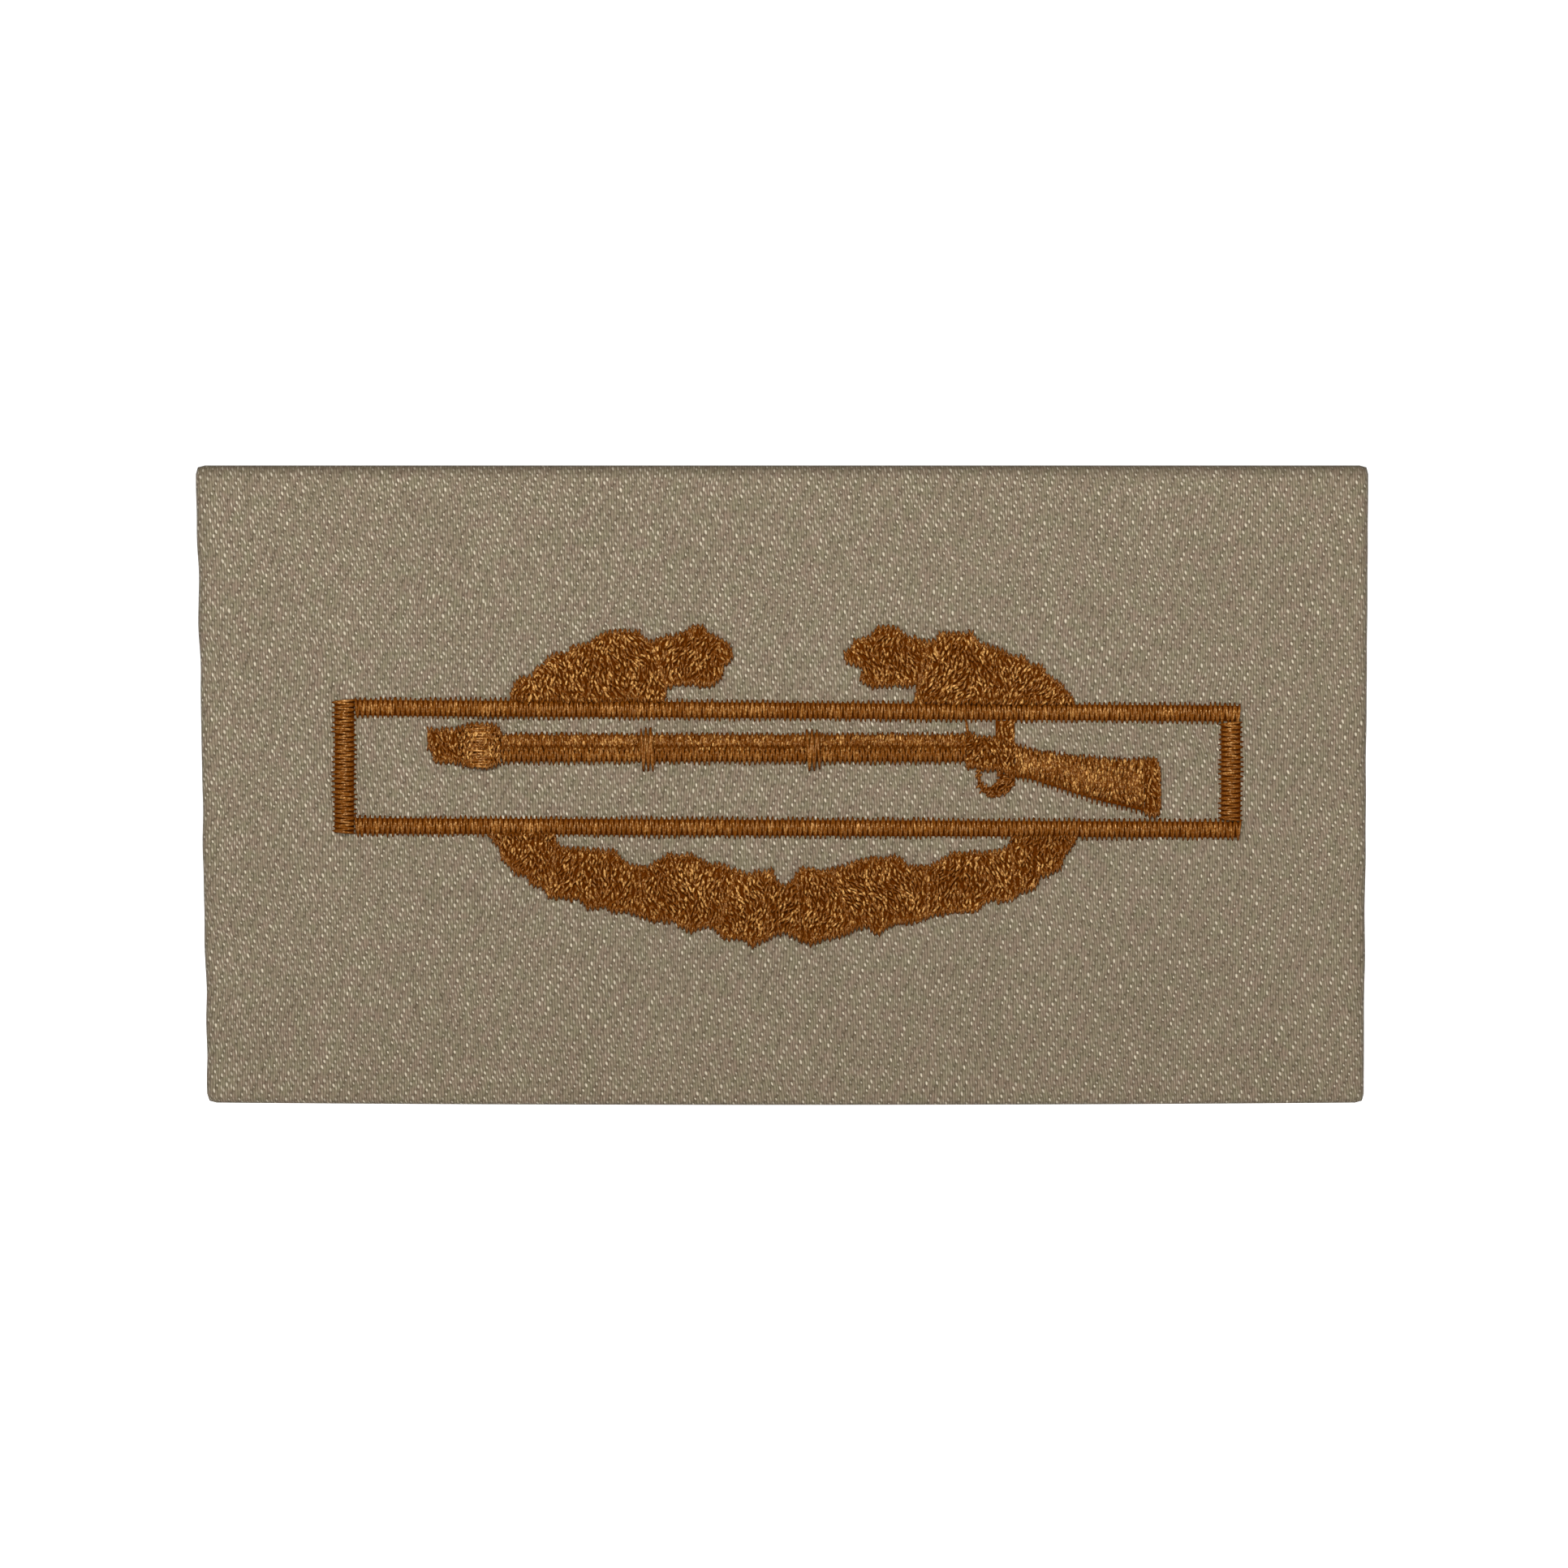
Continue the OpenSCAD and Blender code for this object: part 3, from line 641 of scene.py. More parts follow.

# %% [markdown]
# ### Plied thread
#
# Embroidery thread is two plies twisted together. Shade is painted where it
# dives into the cloth and in the grooves of the twist, and a pale highlight is
# painted on its crest, more on some threads than on others. The ply is a wave
# in `along` and `around`, which each thread carries, so it needs no UV map.

# %% The Plied thread group
def make_ply_group():
    g = shader_group(
        "Plied thread",
        ("Painted shade colour", "Color", srgb(74, 38, 8)),
        ("Body colour", "Color", srgb(122, 74, 30)),
        ("Lit colour", "Color", srgb(176, 120, 66)),
        ("Twist length", "Float", 0.5),
        ("Plies", "Float", 2.0),
        ("Variation", "Float", 0.8),
        ("Speckle", "Float", 2.2))
    along, around = carried(g, "along")["Fac"], carried(g, "around")["Fac"]
    turn = g.add(g.div(along, g["Twist length"]), g.mul(around, g["Plies"]))
    wave = g.math("COSINE", g.mul(turn, 2 * math.pi))
    ply = g.math("POWER", g.muladd(wave, 0.5, 0.5), 0.6)
    co = object_place(g)
    fibre, rise = fibres(g, co), crest_of(g)
    # painted shade: the ends of each stitch, and the grooves between the plies, run to the painted shade
    # colour
    low = g.add(g.mul(rise, 1.1), g.mul(g.sub(ply, 0.5), 0.3))
    low = g.mix("RGBA", g.span(low, 0.05, 0.6, 0.0, 1.0), g["Painted shade colour"], g["Body colour"])
    speck = g.mul(g.sub(fibre, 0.5), g["Speckle"])
    # painted highlight: the crest, broken into specks, runs to the lit colour, on some threads more than on
    # others
    top = g.span(g.add(g.mul(rise, 0.9), speck), 0.62, 1.0, 0.0, 1.0, smooth=True)
    patch = g.cloud(co, 420.0, 1.0)
    lucky = g.muladd(g.sub(patch, 0.5), 1.1, carried(g, "rnd")["Fac"])
    lucky = g.span(lucky, g.mul(g["Variation"], 0.75), 1.0, 0.0, 1.0)
    g.out("Color", g.mix("RGBA", g.mul(top, lucky), low, g["Lit colour"]))
    g.out("Height", g.add(ply, g.mul(fibre, 0.4)))
    g.out("Roughness", g.muladd(fibre, 0.2, 0.22))
    return g.t


PLY = make_ply_group()
print("group", PLY.name, len(PLY.nodes), "nodes")

# %% [markdown]
# The sheen is left only on the crest, in specks, so the specular level follows
# the crest. It goes well past 1 there, because a bundle of fibres mirrors more
# than plain plastic does. A tint keeps that sheen as brown as the thread.

# %% Thread materials
SHEEN = 2.408


def thread_material(name, deep, body, lit, gloss=1.0, variation=0.8, speckle=2.2, tint=(1, 0.62, 0.28, 1)):
    m, g, b = material(name)
    ply = g.put("ShaderNodeGroup", node_tree=PLY)
    for k, v in (("Painted shade colour", deep), ("Body colour", body), ("Lit colour", lit),
                 ("Variation", variation), ("Speckle", speckle)):
        ply.inputs[k].default_value = v
    g.set(b.inputs["Base Color"], ply.outputs["Color"])
    g.set(b.inputs["Roughness"], ply.outputs["Roughness"])
    specks = g.span(fibres(g, object_place(g)), 0.46, 0.62, 0.08, 1.0, smooth=True)
    shine = g.mul(g.math("POWER", crest_of(g), 2.0), specks)
    g.set(b.inputs["Specular IOR Level"], g.mul(shine, gloss * SHEEN))
    b.inputs["Specular Tint"].default_value = tint
    bump = g.put("ShaderNodeBump", {"Strength": 0.5, "Distance": 0.012 * MM, "Height": ply.outputs["Height"]})
    g.set(b.inputs["Normal"], bump.outputs[0])
    return m


# Each thread is given its painted shade colour, its body colour and its lit colour, which is the painted
# highlight. The fill thread's highlight is the brightest of the browns.
BROWN = thread_material(
    "brown_thread", srgb(74, 29, 1), srgb(114, 62, 11), srgb(168, 114, 54), variation=0.75)
BROWN_DARK = thread_material(
    "brown_thread_dark", srgb(76, 31, 2), srgb(106, 56, 9), srgb(150, 98, 44), variation=0.9)
BROWN_FILL = thread_material(
    "brown_thread_fill", srgb(84, 36, 2), srgb(110, 58, 9), srgb(218, 164, 92), variation=0.55, speckle=1.3)
BOBBIN = thread_material(
    "bobbin_thread", srgb(120, 108, 88), srgb(176, 164, 140), srgb(206, 196, 174),
    gloss=0.4, tint=(1, 1, 1, 1))
print("threads", [m.name for m in (BROWN, BROWN_DARK, BROWN_FILL, BOBBIN)])

# %% [markdown]
# ### Twill
#
# In a four-end twill each upright warp thread floats over three picks and dives
# under one, a step higher on each neighbour, which draws the slanting lines.
# The weft shows as a pale bead where the warp dives. A painted highlight marks
# the crest of each float, and painted shade the gaps beside each warp thread.
# More than ten thousand beads, and the fibres between them, are too many for
# geometry, so the weave is worked out in the shader from the place on the flat
# cloth, in millimetres.

# %% Where the warp and the weft are
def oval(g, x, z, wide, high):
    """The distance from an oval's middle, 1 on its edge."""
    return g.math("SQRT", g.add(g.math("POWER", g.div(x, wide), 2.0), g.math("POWER", g.div(z, high), 2.0)))


def weave_beads(g, end, run):
    """The pale beads where the weft crosses, how far away the crossing is, and across the warp."""
    j = g.math("FLOOR", end)
    fe = g.sub(g.sub(end, j), 0.5)
    n = g.math("ROUND", g.div(run, 4.0))
    t = g.sub(run, g.mul(n, 4.0))                   # 0 where the warp dives, 2 on its float
    cross = g.put("ShaderNodeTexWhiteNoise", {"Vector": g.join(j, n, 0.0)}, noise_dimensions="3D").outputs
    cx, cy, cz = g.split(cross["Color"])
    bx = g.add(fe, g.mul(g.sub(cx, 0.5), 0.4))
    bz = g.add(t, g.mul(g.sub(cy, 0.5), 0.35))
    wide = g.muladd(cz, 0.3, 0.42)
    r = oval(g, bx, g.add(bz, g.mul(bx, 0.35)), wide, g.mul(wide, 0.75))
    shine = g.sub(1.0, g.mul(g.math("POWER", cross["Value"], 0.7), g["Fleck variation"]))
    return g.mul(g.span(r, 0.3, 1.1, 1.0, 0.0, smooth=True), shine), g.math("ABSOLUTE", t), fe


def weave_float_highlights(g, run, j, fe):
    """A painted highlight on the crest of a warp float: a slanting dash, stronger on some floats than on
    others and towards the upper left.
    """
    m = g.math("FLOOR", g.div(run, 4.0))
    own = g.put("ShaderNodeTexWhiteNoise", {"Vector": g.join(j, m, 7.0)}, noise_dimensions="3D").outputs
    fx, fy, fz = g.split(own["Color"])
    px, py, pz = g.split(g["Coordinates"])
    place = g.add(g.mul(g.sub(pz, px), 0.004), 0.5)
    tf = g.sub(g.sub(run, g.mul(m, 4.0)), g.muladd(fy, 0.8, 1.6))
    r = oval(g, g.add(fe, g.mul(tf, 0.4)), tf, 0.36, g.muladd(fx, 0.42, 0.26))
    strength = g.mul(g.math("POWER", own["Value"], 1.3), g.span(place, 0.35, 0.65, 0.35, 1.0))
    return g.mul(g.span(r, 0.2, 1.1, 1.0, 0.0, smooth=True), strength)

# %% The Twill weave group
def make_weave_group():
    g = shader_group(
        "Twill weave",
        ("Coordinates", "Vector", (0.0, 0.0, 0.0)),
        ("Warp colour", "Color", srgb(137, 123, 101)),
        ("Gap shade colour", "Color", srgb(84, 72, 54)),
        ("Weft and highlight colour", "Color", srgb(216, 204, 180)),
        ("Warp pitch", "Float", 0.216),
        ("Pick pitch", "Float", 0.415),
        ("Fleck variation", "Float", 0.7))
    co = g["Coordinates"]
    # the cloth is never quite square: long and short pulls move both threads
    pull = g.vec("SUBTRACT", g.cloud(co, 0.09, 1.0, "Color"), (0.5, 0.5, 0.5))
    tug = g.vec("SUBTRACT", g.cloud(co, 0.7, 1.0, "Color"), (0.5, 0.5, 0.5))
    off = g.vec("ADD", g.vec("SCALE", pull, scale=1.6), g.vec("SCALE", tug, scale=0.22))
    x, y, z = g.split(g.vec("ADD", co, off))
    end = g.div(g.add(x, g.mul(z, 0.024)), g["Warp pitch"])
    pick = g.div(g.sub(z, g.mul(x, 0.101)), g["Pick pitch"])
    j = g.math("FLOOR", end)
    run = g.sub(g.sub(pick, 0.5), j)
    beads, away, fe = weave_beads(g, end, run)
    # the pale weft beads, with the painted highlights on the crests of the floats
    beads_and_highlights = g.math("MAXIMUM", beads, g.mul(weave_float_highlights(g, run, j, fe), 0.8))
    # fibres wind round each warp thread
    wound = g.join(g.mul(g.add(g.mul(fe, 0.9), g.mul(z, 0.9)), 4.0), g.mul(j, 3.1), g.mul(g.sub(z, fe), 0.6))
    wind = g.cloud(wound, 1.0, 2.0)
    slub = g.cloud(g.join(g.mul(j, 2.3), 0.0, g.mul(z, 0.8)), 1.0, 2.0)
    fuzz = g.cloud(co, 7.0, 3.0, Roughness=0.7)
    broad = g.cloud(co, 0.15, 3.0)
    # painted shade: each warp thread runs to the gap shade colour at its sides and where it dives under the
    # weft; the fibre noises below add random tone
    ridge = g.math("POWER", g.math("COSINE", g.mul(fe, math.pi)), 0.5)
    body = g.mul(ridge, g.span(away, 0.15, 1.1, 0.25, 1.0, smooth=True))
    tone = g.add(g.mul(body, 0.8), 0.12)
    for v, weight in ((wind, 1.1), (slub, 0.2), (fuzz, 0.8), (broad, 0.15)):
        tone = g.add(tone, g.mul(g.sub(v, 0.5), weight))
    col = g.mix("RGBA", g.span(tone, 0.15, 0.95, 0.0, 1.0), g["Gap shade colour"], g["Warp colour"])
    # the dye takes a little greener or redder from place to place
    dye = g.span(g.cloud(co, 0.7, 2.0), 0.35, 0.65, 0.0, 1.0)
    greener = g.vec("MULTIPLY", col, (0.96, 1.025, 0.97))
    redder = g.vec("MULTIPLY", col, (1.04, 0.98, 1.03))
    col = g.mix("RGBA", dye, greener, redder)
    g.out("Color", g.mix("RGBA", beads_and_highlights, col, g["Weft and highlight colour"]))
    g.out("Height", g.add(g.mul(body, 0.6), g.add(g.mul(beads_and_highlights, 0.5), g.mul(wind, 0.35))))
    g.out("Roughness", g.muladd(fuzz, 0.2, 0.72))
    return g.t


WEAVE = make_weave_group()
print("group", WEAVE.name, len(WEAVE.nodes), "nodes")

# %% [markdown]
# The twill's own material paints shade along the crease of the fold. The mesh
# carries `sheet`, the place on the flat cloth, and `fold`, how near the crease
# is.

# %% The cloth's material
def cloth_material():
    m, g, b = material("drab_twill")
    weave = g.put("ShaderNodeGroup", node_tree=WEAVE)
    g.set(weave.inputs["Coordinates"], carried(g, "sheet")["Vector"])
    # painted shade: the crease of the fold is painted a little darker, most at the top
    wear_and_crease_shade = g.span(carried(g, "fold")["Fac"], 0.1, 1.0, 0.0, 0.75)
    g.set(b.inputs["Base Color"], g.mix("RGBA", wear_and_crease_shade, weave.outputs["Color"], srgb(70, 58, 42)))
    g.set(b.inputs["Roughness"], weave.outputs["Roughness"])
    b.inputs["Specular IOR Level"].default_value = 0.25
    b.inputs["Sheen Weight"].default_value = 0.2
    b.inputs["Sheen Roughness"].default_value = 0.5
    bump = g.put("ShaderNodeBump", {"Strength": 0.7, "Distance": 0.08 * MM,
                                    "Height": weave.outputs["Height"]})
    g.set(b.inputs["Normal"], bump.outputs[0])
    return m


TWILL = cloth_material()
print("cloth", TWILL.name)

# %% [markdown]
# ### Pressed fibre
#
# Interlining is a felt of long fibres pressed flat. Thin lines where a
# stretched noise crosses its middle value look like single fibres, and three
# layers of them at different angles make the tangle.

# %% The interlining's material
def lining_material():
    m, g, b = material("pressed_fibre")
    co = g.vec("SCALE", object_place(g), scale=1 / MM)
    x, y, z = g.split(co)
    webs = None
    for k, (sx, sz) in enumerate(((0.35, 3.2), (3.0, 0.4), (1.4, 1.4))):
        turn = 0.5 + 0.6 * k
        u = g.add(g.mul(x, math.cos(turn)), g.mul(z, math.sin(turn)))
        v = g.sub(g.mul(z, math.cos(turn)), g.mul(x, math.sin(turn)))
        n = g.cloud(g.join(g.mul(u, sx), k * 7.0, g.mul(v, sz)), 1.0, 4.0, Roughness=0.65, Distortion=0.6)
        line = g.span(g.math("ABSOLUTE", g.sub(n, 0.5)), 0.0, 0.05, 1.0, 0.0)
        webs = line if webs is None else g.math("MAXIMUM", webs, line)
    tone = g.math("ADD", g.mul(webs, 0.55), g.mul(g.cloud(co, 0.35, 4.0), 0.6), clamp=True)
    g.set(b.inputs["Base Color"], g.mix("RGBA", tone, srgb(186, 180, 164), srgb(226, 222, 210)))
    b.inputs["Roughness"].default_value = 0.85
    b.inputs["Specular IOR Level"].default_value = 0.2
    bump = g.put("ShaderNodeBump", {"Strength": 0.5, "Distance": 0.06 * MM, "Height": tone})
    g.set(b.inputs["Normal"], bump.outputs[0])
    return m


FELT = lining_material()
print("lining", FELT.name)

# %% [markdown]
# ## The stitched pieces
#
# One call covers one CAD node. The Geometry Nodes modifier is evaluated into a
# plain mesh, and the mesh takes over from the node. A size is given under its
# socket's name, with underscores for spaces.

# %% From a tree to a piece
def stitched(node, tree, mat, seed, back, over, sizes):
    host = bpy.data.objects.new("plan_" + node, bpy.data.meshes.new("plan_" + node))
    scene.collection.objects.link(host)
    mod = host.modifiers.new("stitches", "NODES")
    mod.node_group = tree
    values = {"Solid": bpy.data.objects[node], "Material": mat, "Seed": seed,
              "Outward": BACKWARDS if back else FORWARDS, "Base": LINING_BACK if back else Y_FRONT}
    values.update((k.replace("_", " ").capitalize(), v) for k, v in sizes.items())
    for item in tree.interface.items_tree:
        if item.item_type == "SOCKET" and item.in_out == "INPUT" and item.name in values:
            mod[item.identifier] = values[item.name]
    dg = bpy.context.evaluated_depsgraph_get()
    ready = host.evaluated_get(dg)
    mesh = bpy.data.meshes.new_from_object(ready, preserve_all_data_layers=True, depsgraph=dg)
    host.modifiers.remove(mod)
    bpy.data.objects.remove(host)
    mesh.name = "stitch_" + node + over
    piece = bpy.data.objects.new("stitch_" + node + over, mesh)
    scene.collection.objects.link(piece)
    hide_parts(node)
    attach(piece, "root")
    print(piece.name, len(mesh.polygons), "faces")


def thickness(node):
    a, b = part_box(node)
    return b.y - a.y

# %% One function for each stitch
def satin(node, along, mat=BROWN, slot="thread", seed=1, back=False, inset=0.05 * MM, depth=0.5, **sizes):
    """Satin stitch over a node: `along` is "x" or "z", the way the column runs."""
    a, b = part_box(node)
    start = (a + b) / 2
    start.y = a.y + (b.y - a.y) * depth
    end = start.copy()
    if along == "x":
        start.x, end.x, across = a.x + inset, b.x - inset, UP
    else:
        start.z, end.z, across = a.z + inset, b.z - inset, RIGHT
    plan = dict(guide_start=start, guide_end=end, direction=across,
                height=thickness(node) - 0.2 * MM, thread_radius=0.122 * MM)
    stitched(node, SATIN, mat, seed, back, "", dict(plan, **sizes))


def fill(node, angle, mat=BROWN_FILL, slot="thread_light", seed=1, back=False, over="", **sizes):
    """Fill stitch over a node, near this angle in degrees."""
    plan = dict(angle=math.radians(angle), height=thickness(node) - 0.12 * MM,
                steps=7, thread_radius=0.092 * MM)
    stitched(node, FILL, mat, seed, back, over, dict(plan, **sizes))


def edge(node, seed):
    """Edge stitch round a node that has fill stitch."""
    plan = dict(height=thickness(node) - 0.12 * MM, steps=7, thread_radius=0.09 * MM)
    stitched(node, EDGE, BROWN_DARK, seed, False, "_edge", plan)

# %% [markdown]
# ### The bar
#
# Four satin columns, two long and two short, which meet at the corners.

# %% Bar
for k, side in enumerate(("top", "bottom", "left", "right")):
    satin("bar_" + side, "x" if k < 2 else "z", seed=11 + k)

# %% [markdown]
# ### The musket
#
# The barrel, the fore-stock and the butt are satin columns. On the barrel and
# the butt, short stitches laid over the column break up its smooth sheen and
# leave its lower edge clear. They use the fill thread, whose brighter painted
# highlight makes the upper part of the column look lit. The muzzle, hammer,
# lock, trigger guard and butt plate are too short for a column, so they are
# filled. A row of small stitches covers the joint between the barrel and the
# fore-stock.

# %% Muzzle, nose cap and barrel
# painted highlight: these stitches carry the fill thread's bright lit colour over all but the lower edge of a
# column
DASHES = dict(spread=0.5, stitch_length=0.75 * MM, spacing=0.24 * MM, padding=0.0,
              clear_below=0.45 * MM, thread_radius=0.085 * MM)
COLUMN_DASHES = dict(DASHES, height=0.56 * MM)
fill("muzzle", 85, seed=15)
satin("nose_cap", "z", seed=16, slot="thread_light", ragged=0.05 * MM, overshoot=0.1 * MM)
CAP_DASHES = dict(DASHES, spread=0.9, height=0.62 * MM, clear_below=0.0)
fill("nose_cap", 90, seed=36, over="_dashes", **CAP_DASHES)
edge("nose_cap", 116)
satin("barrel", "x", seed=17)
fill("barrel", 90, seed=27, over="_dashes", **COLUMN_DASHES)

# %% Fore-stock, bands, sight and joint
satin("fore_stock", "x", seed=18, lap_ahead=0.3 * MM, lap_rise=0.45 * MM)
BAND = dict(height=0.78 * MM, padding=0.0, fullness=4.0, overshoot=0.08 * MM, pitch=0.25 * MM,
            thread_radius=0.13 * MM)
for k, node in enumerate(("front_band", "rear_band")):
    satin(node, "x", BROWN, "thread_dark", seed=19 + k, depth=0.06, **BAND)
satin("rear_sight", "x", BROWN_DARK, "thread_dark", seed=21, inset=0.1 * MM)
joint_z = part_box("barrel")[0].z
JOINT = dict(DASHES, spread=0.3, stitch_length=0.5 * MM, spacing=0.2 * MM, height=0.64 * MM, dome=0.12,
             clear_below=0.0,
             window_low=(-1, -1, joint_z - 0.08 * MM), window_high=(1, 1, joint_z + 0.22 * MM))
fill("barrel", 90, seed=29, over="_joint", **JOINT)

# %% Lock and butt
fill("hammer", 90, seed=22)
fill("lock", 88, seed=23)
edge("lock", 123)
fill("trigger_guard", 40, BROWN_DARK, "thread_dark", seed=24, spread=1.4, stitch_length=0.7 * MM,
     spacing=0.26 * MM, padding=0.25, draw_in=0.12 * MM)
satin("butt_stock", "x", seed=25)
fill("butt_stock", 90, seed=28, over="_dashes", **COLUMN_DASHES)
fill("butt_plate", 95, seed=26)
edge("butt_plate", 126)
edge("muzzle", 115)

# %% [markdown]
# ### The wreath
#
# Each leaf is filled near its own angle, in degrees. The leaves next to the bar
# were stitched after it, so their threads run a little way over its edge.

# %% Leaves
LEAVES = {
    "leaf_upper_left": 100, "leaf_upper_left_tip": 85, "leaf_upper_right": 75, "leaf_upper_right_tip": 95,
    "leaf_lower_left_outer": 95, "leaf_lower_left_middle": 88, "leaf_lower_left_inner": 92,
    "leaf_lower_left_end": 85, "leaf_lower_right_outer": 85, "leaf_lower_right_middle": 92,
    "leaf_lower_right_inner": 100, "leaf_lower_right_end": 95}
for k, (node, angle) in enumerate(LEAVES.items()):
    a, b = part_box(node)
    lap = {}
    if node in ("leaf_upper_left", "leaf_upper_right"):
        lap = dict(lap_level=a.z + 0.35 * MM, lap_side=-1.0)
    elif node.endswith("outer"):
        lap = dict(lap_level=b.z - 0.25 * MM, lap_side=1.0)
    fill(node, angle, seed=40 + k, **lap)
    edge(node, 140 + k)
fill("wreath_tie", 80, seed=60)
edge("wreath_tie", 160)

# %% [markdown]
# ### The back of the stitches
#
# On the back a pale bobbin thread locks every stitch. The same trees lay it on
# the back of the interlining, facing the other way. The fill is longer and
# sparser there than on the face.

# %% Under-threads
for k, side in enumerate(("top", "bottom", "left", "right")):
    satin("under_bar_" + side, "x" if k < 2 else "z", BOBBIN, "under_thread", seed=70 + k, back=True)
for k, area in enumerate(("musket", "leaf_left", "leaf_right", "wreath_left", "wreath_right")):
    fill("under_" + area, 90, BOBBIN, "under_thread", seed=80 + k, back=True,
         spacing=0.42 * MM, stitch_length=1.8 * MM, spread=0.4)

# %% [markdown]
# ## The cloth
#
# The real panel, its folds and its hems are one piece of twill, so the mesh is
# one sheet too: a grid for the panel, and rings for the folds and the hems.
# Pressed folds are stiff, so the shape is worked out by rule and not by a cloth
# simulation. Each vertex also keeps where it lies on the flat, unfolded cloth,
# in millimetres, so that the weave runs unbroken over the fold.

# %% Sizes of the sheet
ROLL = (Y_BACK - Y_FRONT) / 2                       # radius of the fold
LEAN_LEFT, LEAN_RIGHT = 1.0 * MM, 0.4 * MM          # how far the short edges lean
PANEL_W, PANEL_H = CLOTH_W - (LEAN_LEFT + LEAN_RIGHT) / 2, CLOTH_H
HEM_SIDE, HEM_TOP = 10 * MM, 11 * MM
CORNER = 0.55 * MM
FOLDED = ROLL * (math.pi - 1)                       # cloth past the panel's edge at the fold's end
GRID_X, GRID_Z = 132, 72
ARC_STEPS, HEM_STEPS = 8, 8
print(f"fold radius {ROLL / MM:.3f} mm")


def border(nx, nz):
    """The grid's outermost places, once round."""
    low, right = [(ix, 0) for ix in range(nx)], [(nx, iz) for iz in range(nz)]
    top, left = [(ix, nz) for ix in range(nx, 0, -1)], [(0, iz) for iz in range(nz, 0, -1)]
    return low + right + top + left


def piece_of(name, node, mat, verts, faces):
    mesh = bpy.data.meshes.new(name)
    mesh.from_pydata([tuple(p) for p in verts], [], faces)
    mesh.validate()
    for p in mesh.polygons:
        p.use_smooth = True
    mesh.materials.append(mat)
    piece = bpy.data.objects.new(name, mesh)
    scene.collection.objects.link(piece)
    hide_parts(node)
    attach(piece, "root")
    print(name, len(mesh.polygons), "faces")
    return piece

# %% [markdown]
# ### The interlining
#
# It is a flat stiff sheet inside the folds, with a front, a back and a thin
# edge. Its faces are very slightly uneven, as pressed fibre is.

# %% Interlining
def build_lining():
    a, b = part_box("interlining")
    nx, nz = 96, 52
    row, one = nx + 1, (nx + 1) * (nz + 1)
    verts, faces = [], []
    for y, inwards in ((b.y - 0.01 * MM, -1), (a.y + 0.05 * MM, 1)):
        for iz in range(nz + 1):
            for ix in range(nx + 1):
                x = a.x + (b.x - a.x) * ix / nx
                z = a.z + (b.z - a.z) * iz / nz
                dip = 0.03 * MM * abs(noise.noise(Vector((x * 220, 0, z * 220))))
                verts.append((x, y + inwards * dip, z))
    for iz in range(nz):
        for ix in range(nx):
            k = iz * row + ix
            faces.append((k + row, k + row + 1, k + 1, k))
            k += one
            faces.append((k, k + 1, k + row + 1, k + row))
    ring = [iz * row + ix for ix, iz in border(nx, nz)]
    for i, j in zip(ring, ring[1:] + ring[:1]):
        faces.append((i, j, j + one, i + one))
    piece = piece_of("interlining_sheet", "interlining", FELT, verts, faces)


build_lining()

# %% [markdown]
# ### The twill sheet
#
# Each ring round the panel is given by how far inside the outline it lies, its
# depth and how much cloth is past the panel's edge there. The first rings turn
# round the fold, the next lie on the back as the hem, and the last two give the
# cut edge of the hem its thickness.

# %% Rings of the fold and the hem
def ring_point(ix, iz, inset, y, s, inset_z=None, sz=None):
    """A place on the ring at this inset; s is the cloth past the panel's edge."""
    fx, fz = 2 * ix / GRID_X - 1, 2 * iz / GRID_Z - 1
    hw, hh = PANEL_W / 2 - inset, PANEL_H / 2 - (inset if inset_z is None else inset_z)
    x, z = fx * hw, fz * hh
    r = max(CORNER - inset, 0.0)
    if r > 0 and abs(x) > hw - r and abs(z) > hh - r:
        cx, cz = math.copysign(hw - r, x), math.copysign(hh - r, z)
        d = Vector((x - cx, z - cz))
        if d.length > 0:
            d = d.normalized() * r
            x, z = cx + d.x, cz + d.y
    u, v = fx * (PANEL_W / 2 + s), fz * (PANEL_H / 2 + (s if sz is None else sz))
    return Vector((x, y, z)), (u, v)


def fold_rings():
    rings = []
    for k in range(1, ARC_STEPS + 1):
        a = math.pi * k / ARC_STEPS
        rings.append((ROLL - ROLL * math.sin(a), CENTRE.y - ROLL * math.cos(a), -ROLL + ROLL * a))
    for k in range(1, HEM_STEPS + 1):
        dx, dz = (HEM_SIDE - ROLL) * k / HEM_STEPS, (HEM_TOP - ROLL) * k / HEM_STEPS
        rings.append((ROLL + dx, Y_BACK, FOLDED + dx, ROLL + dz, FOLDED + dz))
    cut = 0.08 * MM
    for dy, s in ((-0.12 * MM, 0.0), (LINING_BACK - Y_BACK, 0.3 * MM)):
        side, top = FOLDED + HEM_SIDE + s, FOLDED + HEM_TOP + s
        rings.append((HEM_SIDE + cut, Y_BACK + dy, side, HEM_TOP + cut, top))
    return rings

# %% The sheet before it is worn
def folded_sheet():
    verts, flat, faces = [], [], []

    def grow(places, ring):
        first = len(verts)
        for ix, iz in places:
            p, uv = ring_point(ix, iz, *ring)
            verts.append(p)
            flat.append(uv)
        return first

    grow([(ix, iz) for iz in range(GRID_Z + 1) for ix in range(GRID_X + 1)], (ROLL, Y_FRONT, -ROLL))
    row = GRID_X + 1
    for iz in range(GRID_Z):
        for ix in range(GRID_X):
            k = iz * row + ix
            faces.append((k, k + 1, k + row + 1, k + row))
    loop = border(GRID_X, GRID_Z)
    last = [iz * row + ix for ix, iz in loop]
    for ring in fold_rings():
        first = grow(loop, ring)
        now = list(range(first, first + len(loop)))
        for k in range(len(loop)):
            n = (k + 1) % len(loop)
            faces.append((last[n], last[k], now[k], now[n]))
        last = now
    return verts, flat, faces

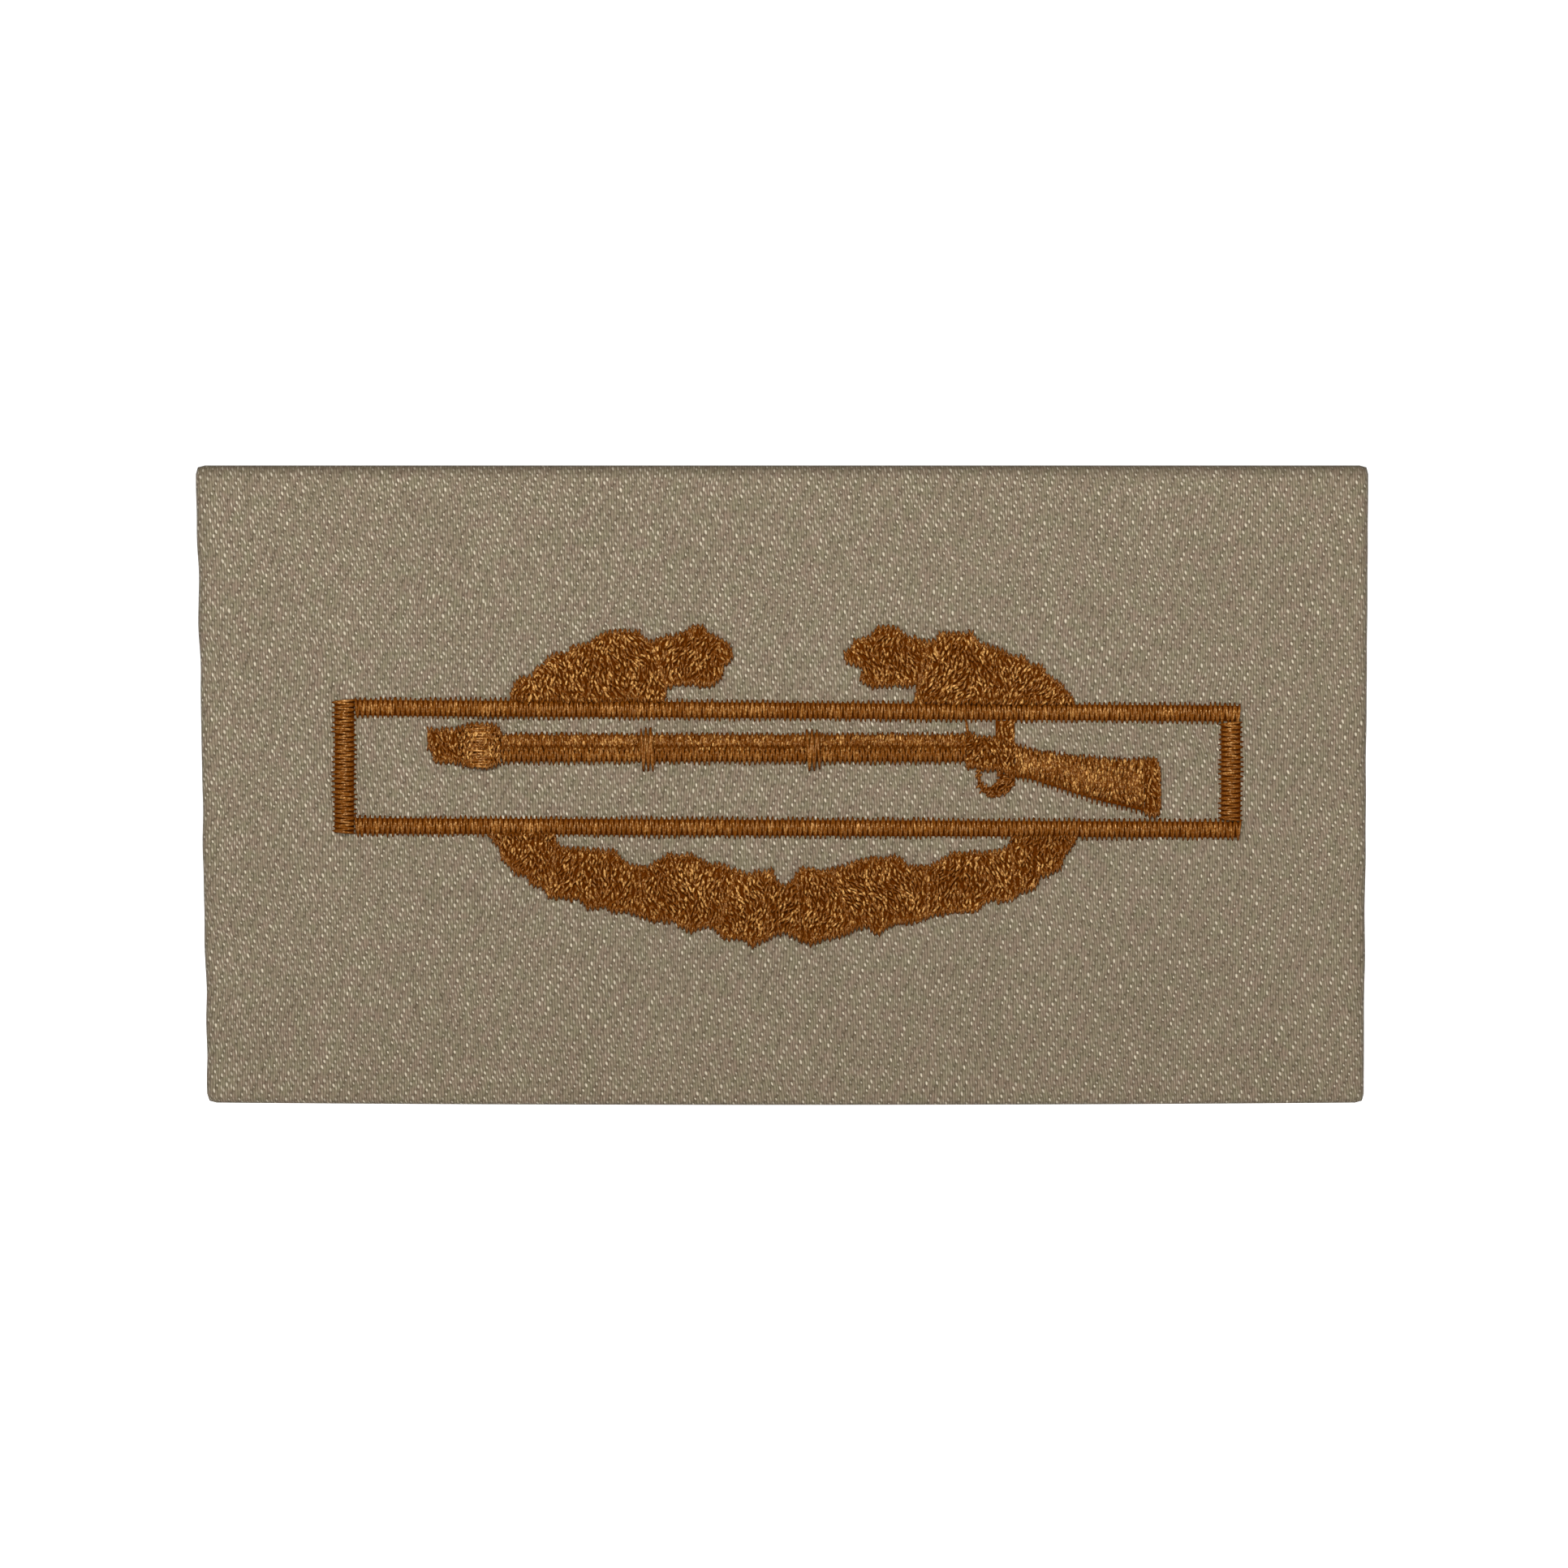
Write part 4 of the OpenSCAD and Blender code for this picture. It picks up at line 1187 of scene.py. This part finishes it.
# %% [markdown]
# A hand-folded badge isn't quite square: its short edges lean, its lower edge
# bows and the panel isn't quite flat. Moving the vertices does that, and leaves
# their places on the flat cloth alone. Shade is painted on the crease of the
# fold, most at the top.

# %% Wear, and shade painted on the crease
def wear_and_crease_shade(p):
    e, up = p.x / (PANEL_W / 2), p.z / PANEL_H
    near_edge = max(0.0, abs(e) - 0.6) / 0.4
    if e < 0:
        p.x -= near_edge * LEAN_LEFT * up
        p.x += near_edge * 0.16 * MM * noise.noise(Vector((3.1, 0, p.z * 260)))
    else:
        p.x += near_edge * LEAN_RIGHT * up
        p.x += near_edge * 0.05 * MM * noise.noise(Vector((8.1, 0, p.z * 240)))
    if up < 0:
        p.z -= max(0.0, -2 * up - 0.5) * 2 * 0.2 * MM * (1 - e * e)
    if p.y < CENTRE.y:
        pucker = noise.noise(Vector((p.x * 90, 4.0, p.z * 90)))
        p.y += 0.10 * MM * pucker * min(1.0, (1 - abs(e)) * 8)


def painted_crease_shade(past, much):
    """How much painted shade the crease gets at this distance past the panel's edge."""
    away = max(-past / 1.1, (past - ROLL) / 0.9, 0.0) / MM
    return much * max(0.0, 1.0 - away)


def build_cloth():
    verts, flat, faces = folded_sheet()
    for p in verts:
        wear_and_crease_shade(p)
    piece = piece_of("twill_sheet", "face_cloth", TWILL, verts, faces)
    sheet = piece.data.attributes.new("sheet", "FLOAT_VECTOR", "POINT")
    for k, (u, v) in enumerate(flat):
        sheet.data[k].vector = (u / MM, 0.0, v / MM)
    fold = piece.data.attributes.new("fold", "FLOAT", "POINT")
    for k, (u, v) in enumerate(flat):
        # painted shade on the crease: most along the top, less at the sides, least along the bottom
        sides = ((abs(u) - PANEL_W / 2, 0.45), (v - PANEL_H / 2, 1.0), (-v - PANEL_H / 2, 0.05))
        fold.data[k].value = max(painted_crease_shade(past, much) for past, much in sides)


build_cloth()

# %% [markdown]
# ## Floor, light and camera
#
# The badge stands on its lower edge on a pale floor, which glows a little so
# that it stays pale. A product studio has soft boxes before and behind the
# object. Here the world gives that soft light, dark above and at the sides, and
# three round lamps give the shape: a key lamp high in front and two weaker ones
# at the sides.

# %% Floor
def build_floor():
    s, z = 3.0, lo.z - 0.6 * MM
    mesh = bpy.data.meshes.new("floor")
    mesh.from_pydata([(-s, -s, z), (s, -s, z), (s, s, z), (-s, s, z)], [], [(0, 1, 2, 3)])
    floor = bpy.data.objects.new("floor", mesh)
    scene.collection.objects.link(floor)
    m, g, b = material("pale_floor")
    b.inputs["Base Color"].default_value = (0.93, 0.93, 0.93, 1)
    b.inputs["Roughness"].default_value = 0.9
    b.inputs["Emission Color"].default_value = (1, 1, 1, 1)
    seen = g.put("ShaderNodeLightPath").outputs["Is Camera Ray"]
    g.set(b.inputs["Emission Strength"], g.mul(seen, 0.9))
    mesh.materials.append(m)


build_floor()

# %% Light
def build_world():
    w = bpy.data.worlds.new("soft_white")
    scene.world = w
    w.use_nodes = True
    w.node_tree.nodes.clear()
    g = Tree(w.node_tree)
    out = g.put("ShaderNodeOutputWorld")
    path = g.put("ShaderNodeLightPath")
    way = g.split(g.put("ShaderNodeTexCoord").outputs["Generated"])[1]
    facing = g.math("POWER", g.math("ABSOLUTE", way), 1.5)
    soft = g.muladd(facing, g.span(way, -0.1, 0.1, 0.5, 1.7), 0.06)
    soft = g.mul(soft, g.sub(1.0, g.mul(path.outputs["Is Glossy Ray"], 0.8)))
    lit = g.put("ShaderNodeBackground", {"Color": (1, 1, 1, 1), "Strength": soft})
    seen = g.put("ShaderNodeBackground", {"Color": (1, 1, 1, 1), "Strength": 1.2})
    mix = g.put("ShaderNodeMixShader", {
        0: path.outputs["Is Camera Ray"], 1: lit.outputs[0], 2: seen.outputs[0]})
    g.set(out.inputs["Surface"], mix.outputs[0])


def lamp(name, at, size, power):
    """A round soft lamp that points at the badge."""
    d = bpy.data.lights.new(name, "AREA")
    d.shape, d.size, d.energy = "DISK", size, power
    o = bpy.data.objects.new(name, d)
    scene.collection.objects.link(o)
    o.location = at
    o.rotation_mode = "QUATERNION"
    o.rotation_quaternion = (-Vector(at)).to_track_quat("-Z", "Y")


build_world()
lamp("key", (-0.06, -0.64, 0.41), 0.14, 3.15)
lamp("left", (-0.42, -0.50, 0.10), 0.10, 0.75)
lamp("right", (0.42, -0.50, 0.10), 0.10, 0.75)

# %% Camera
SENSOR = 36.0                       # in the lens's own millimetres
DISTANCE = 0.9
VIEW_W = 131.8 * MM                 # width of the view at the face of the cloth


def build_camera():
    cam = bpy.data.cameras.new("camera")
    cam.sensor_width = SENSOR
    cam.lens = SENSOR * (DISTANCE + Y_FRONT) / VIEW_W
    cam.clip_start, cam.clip_end = 0.05, 20
    o = bpy.data.objects.new("camera", cam)
    scene.collection.objects.link(o)
    o.location = (0.0, -DISTANCE, 0.0)
    o.rotation_euler = (math.pi / 2, 0, 0)
    scene.camera = o
    scene.view_settings.view_transform = "Standard"
    print(f"lens {cam.lens:.1f} mm")


build_camera()
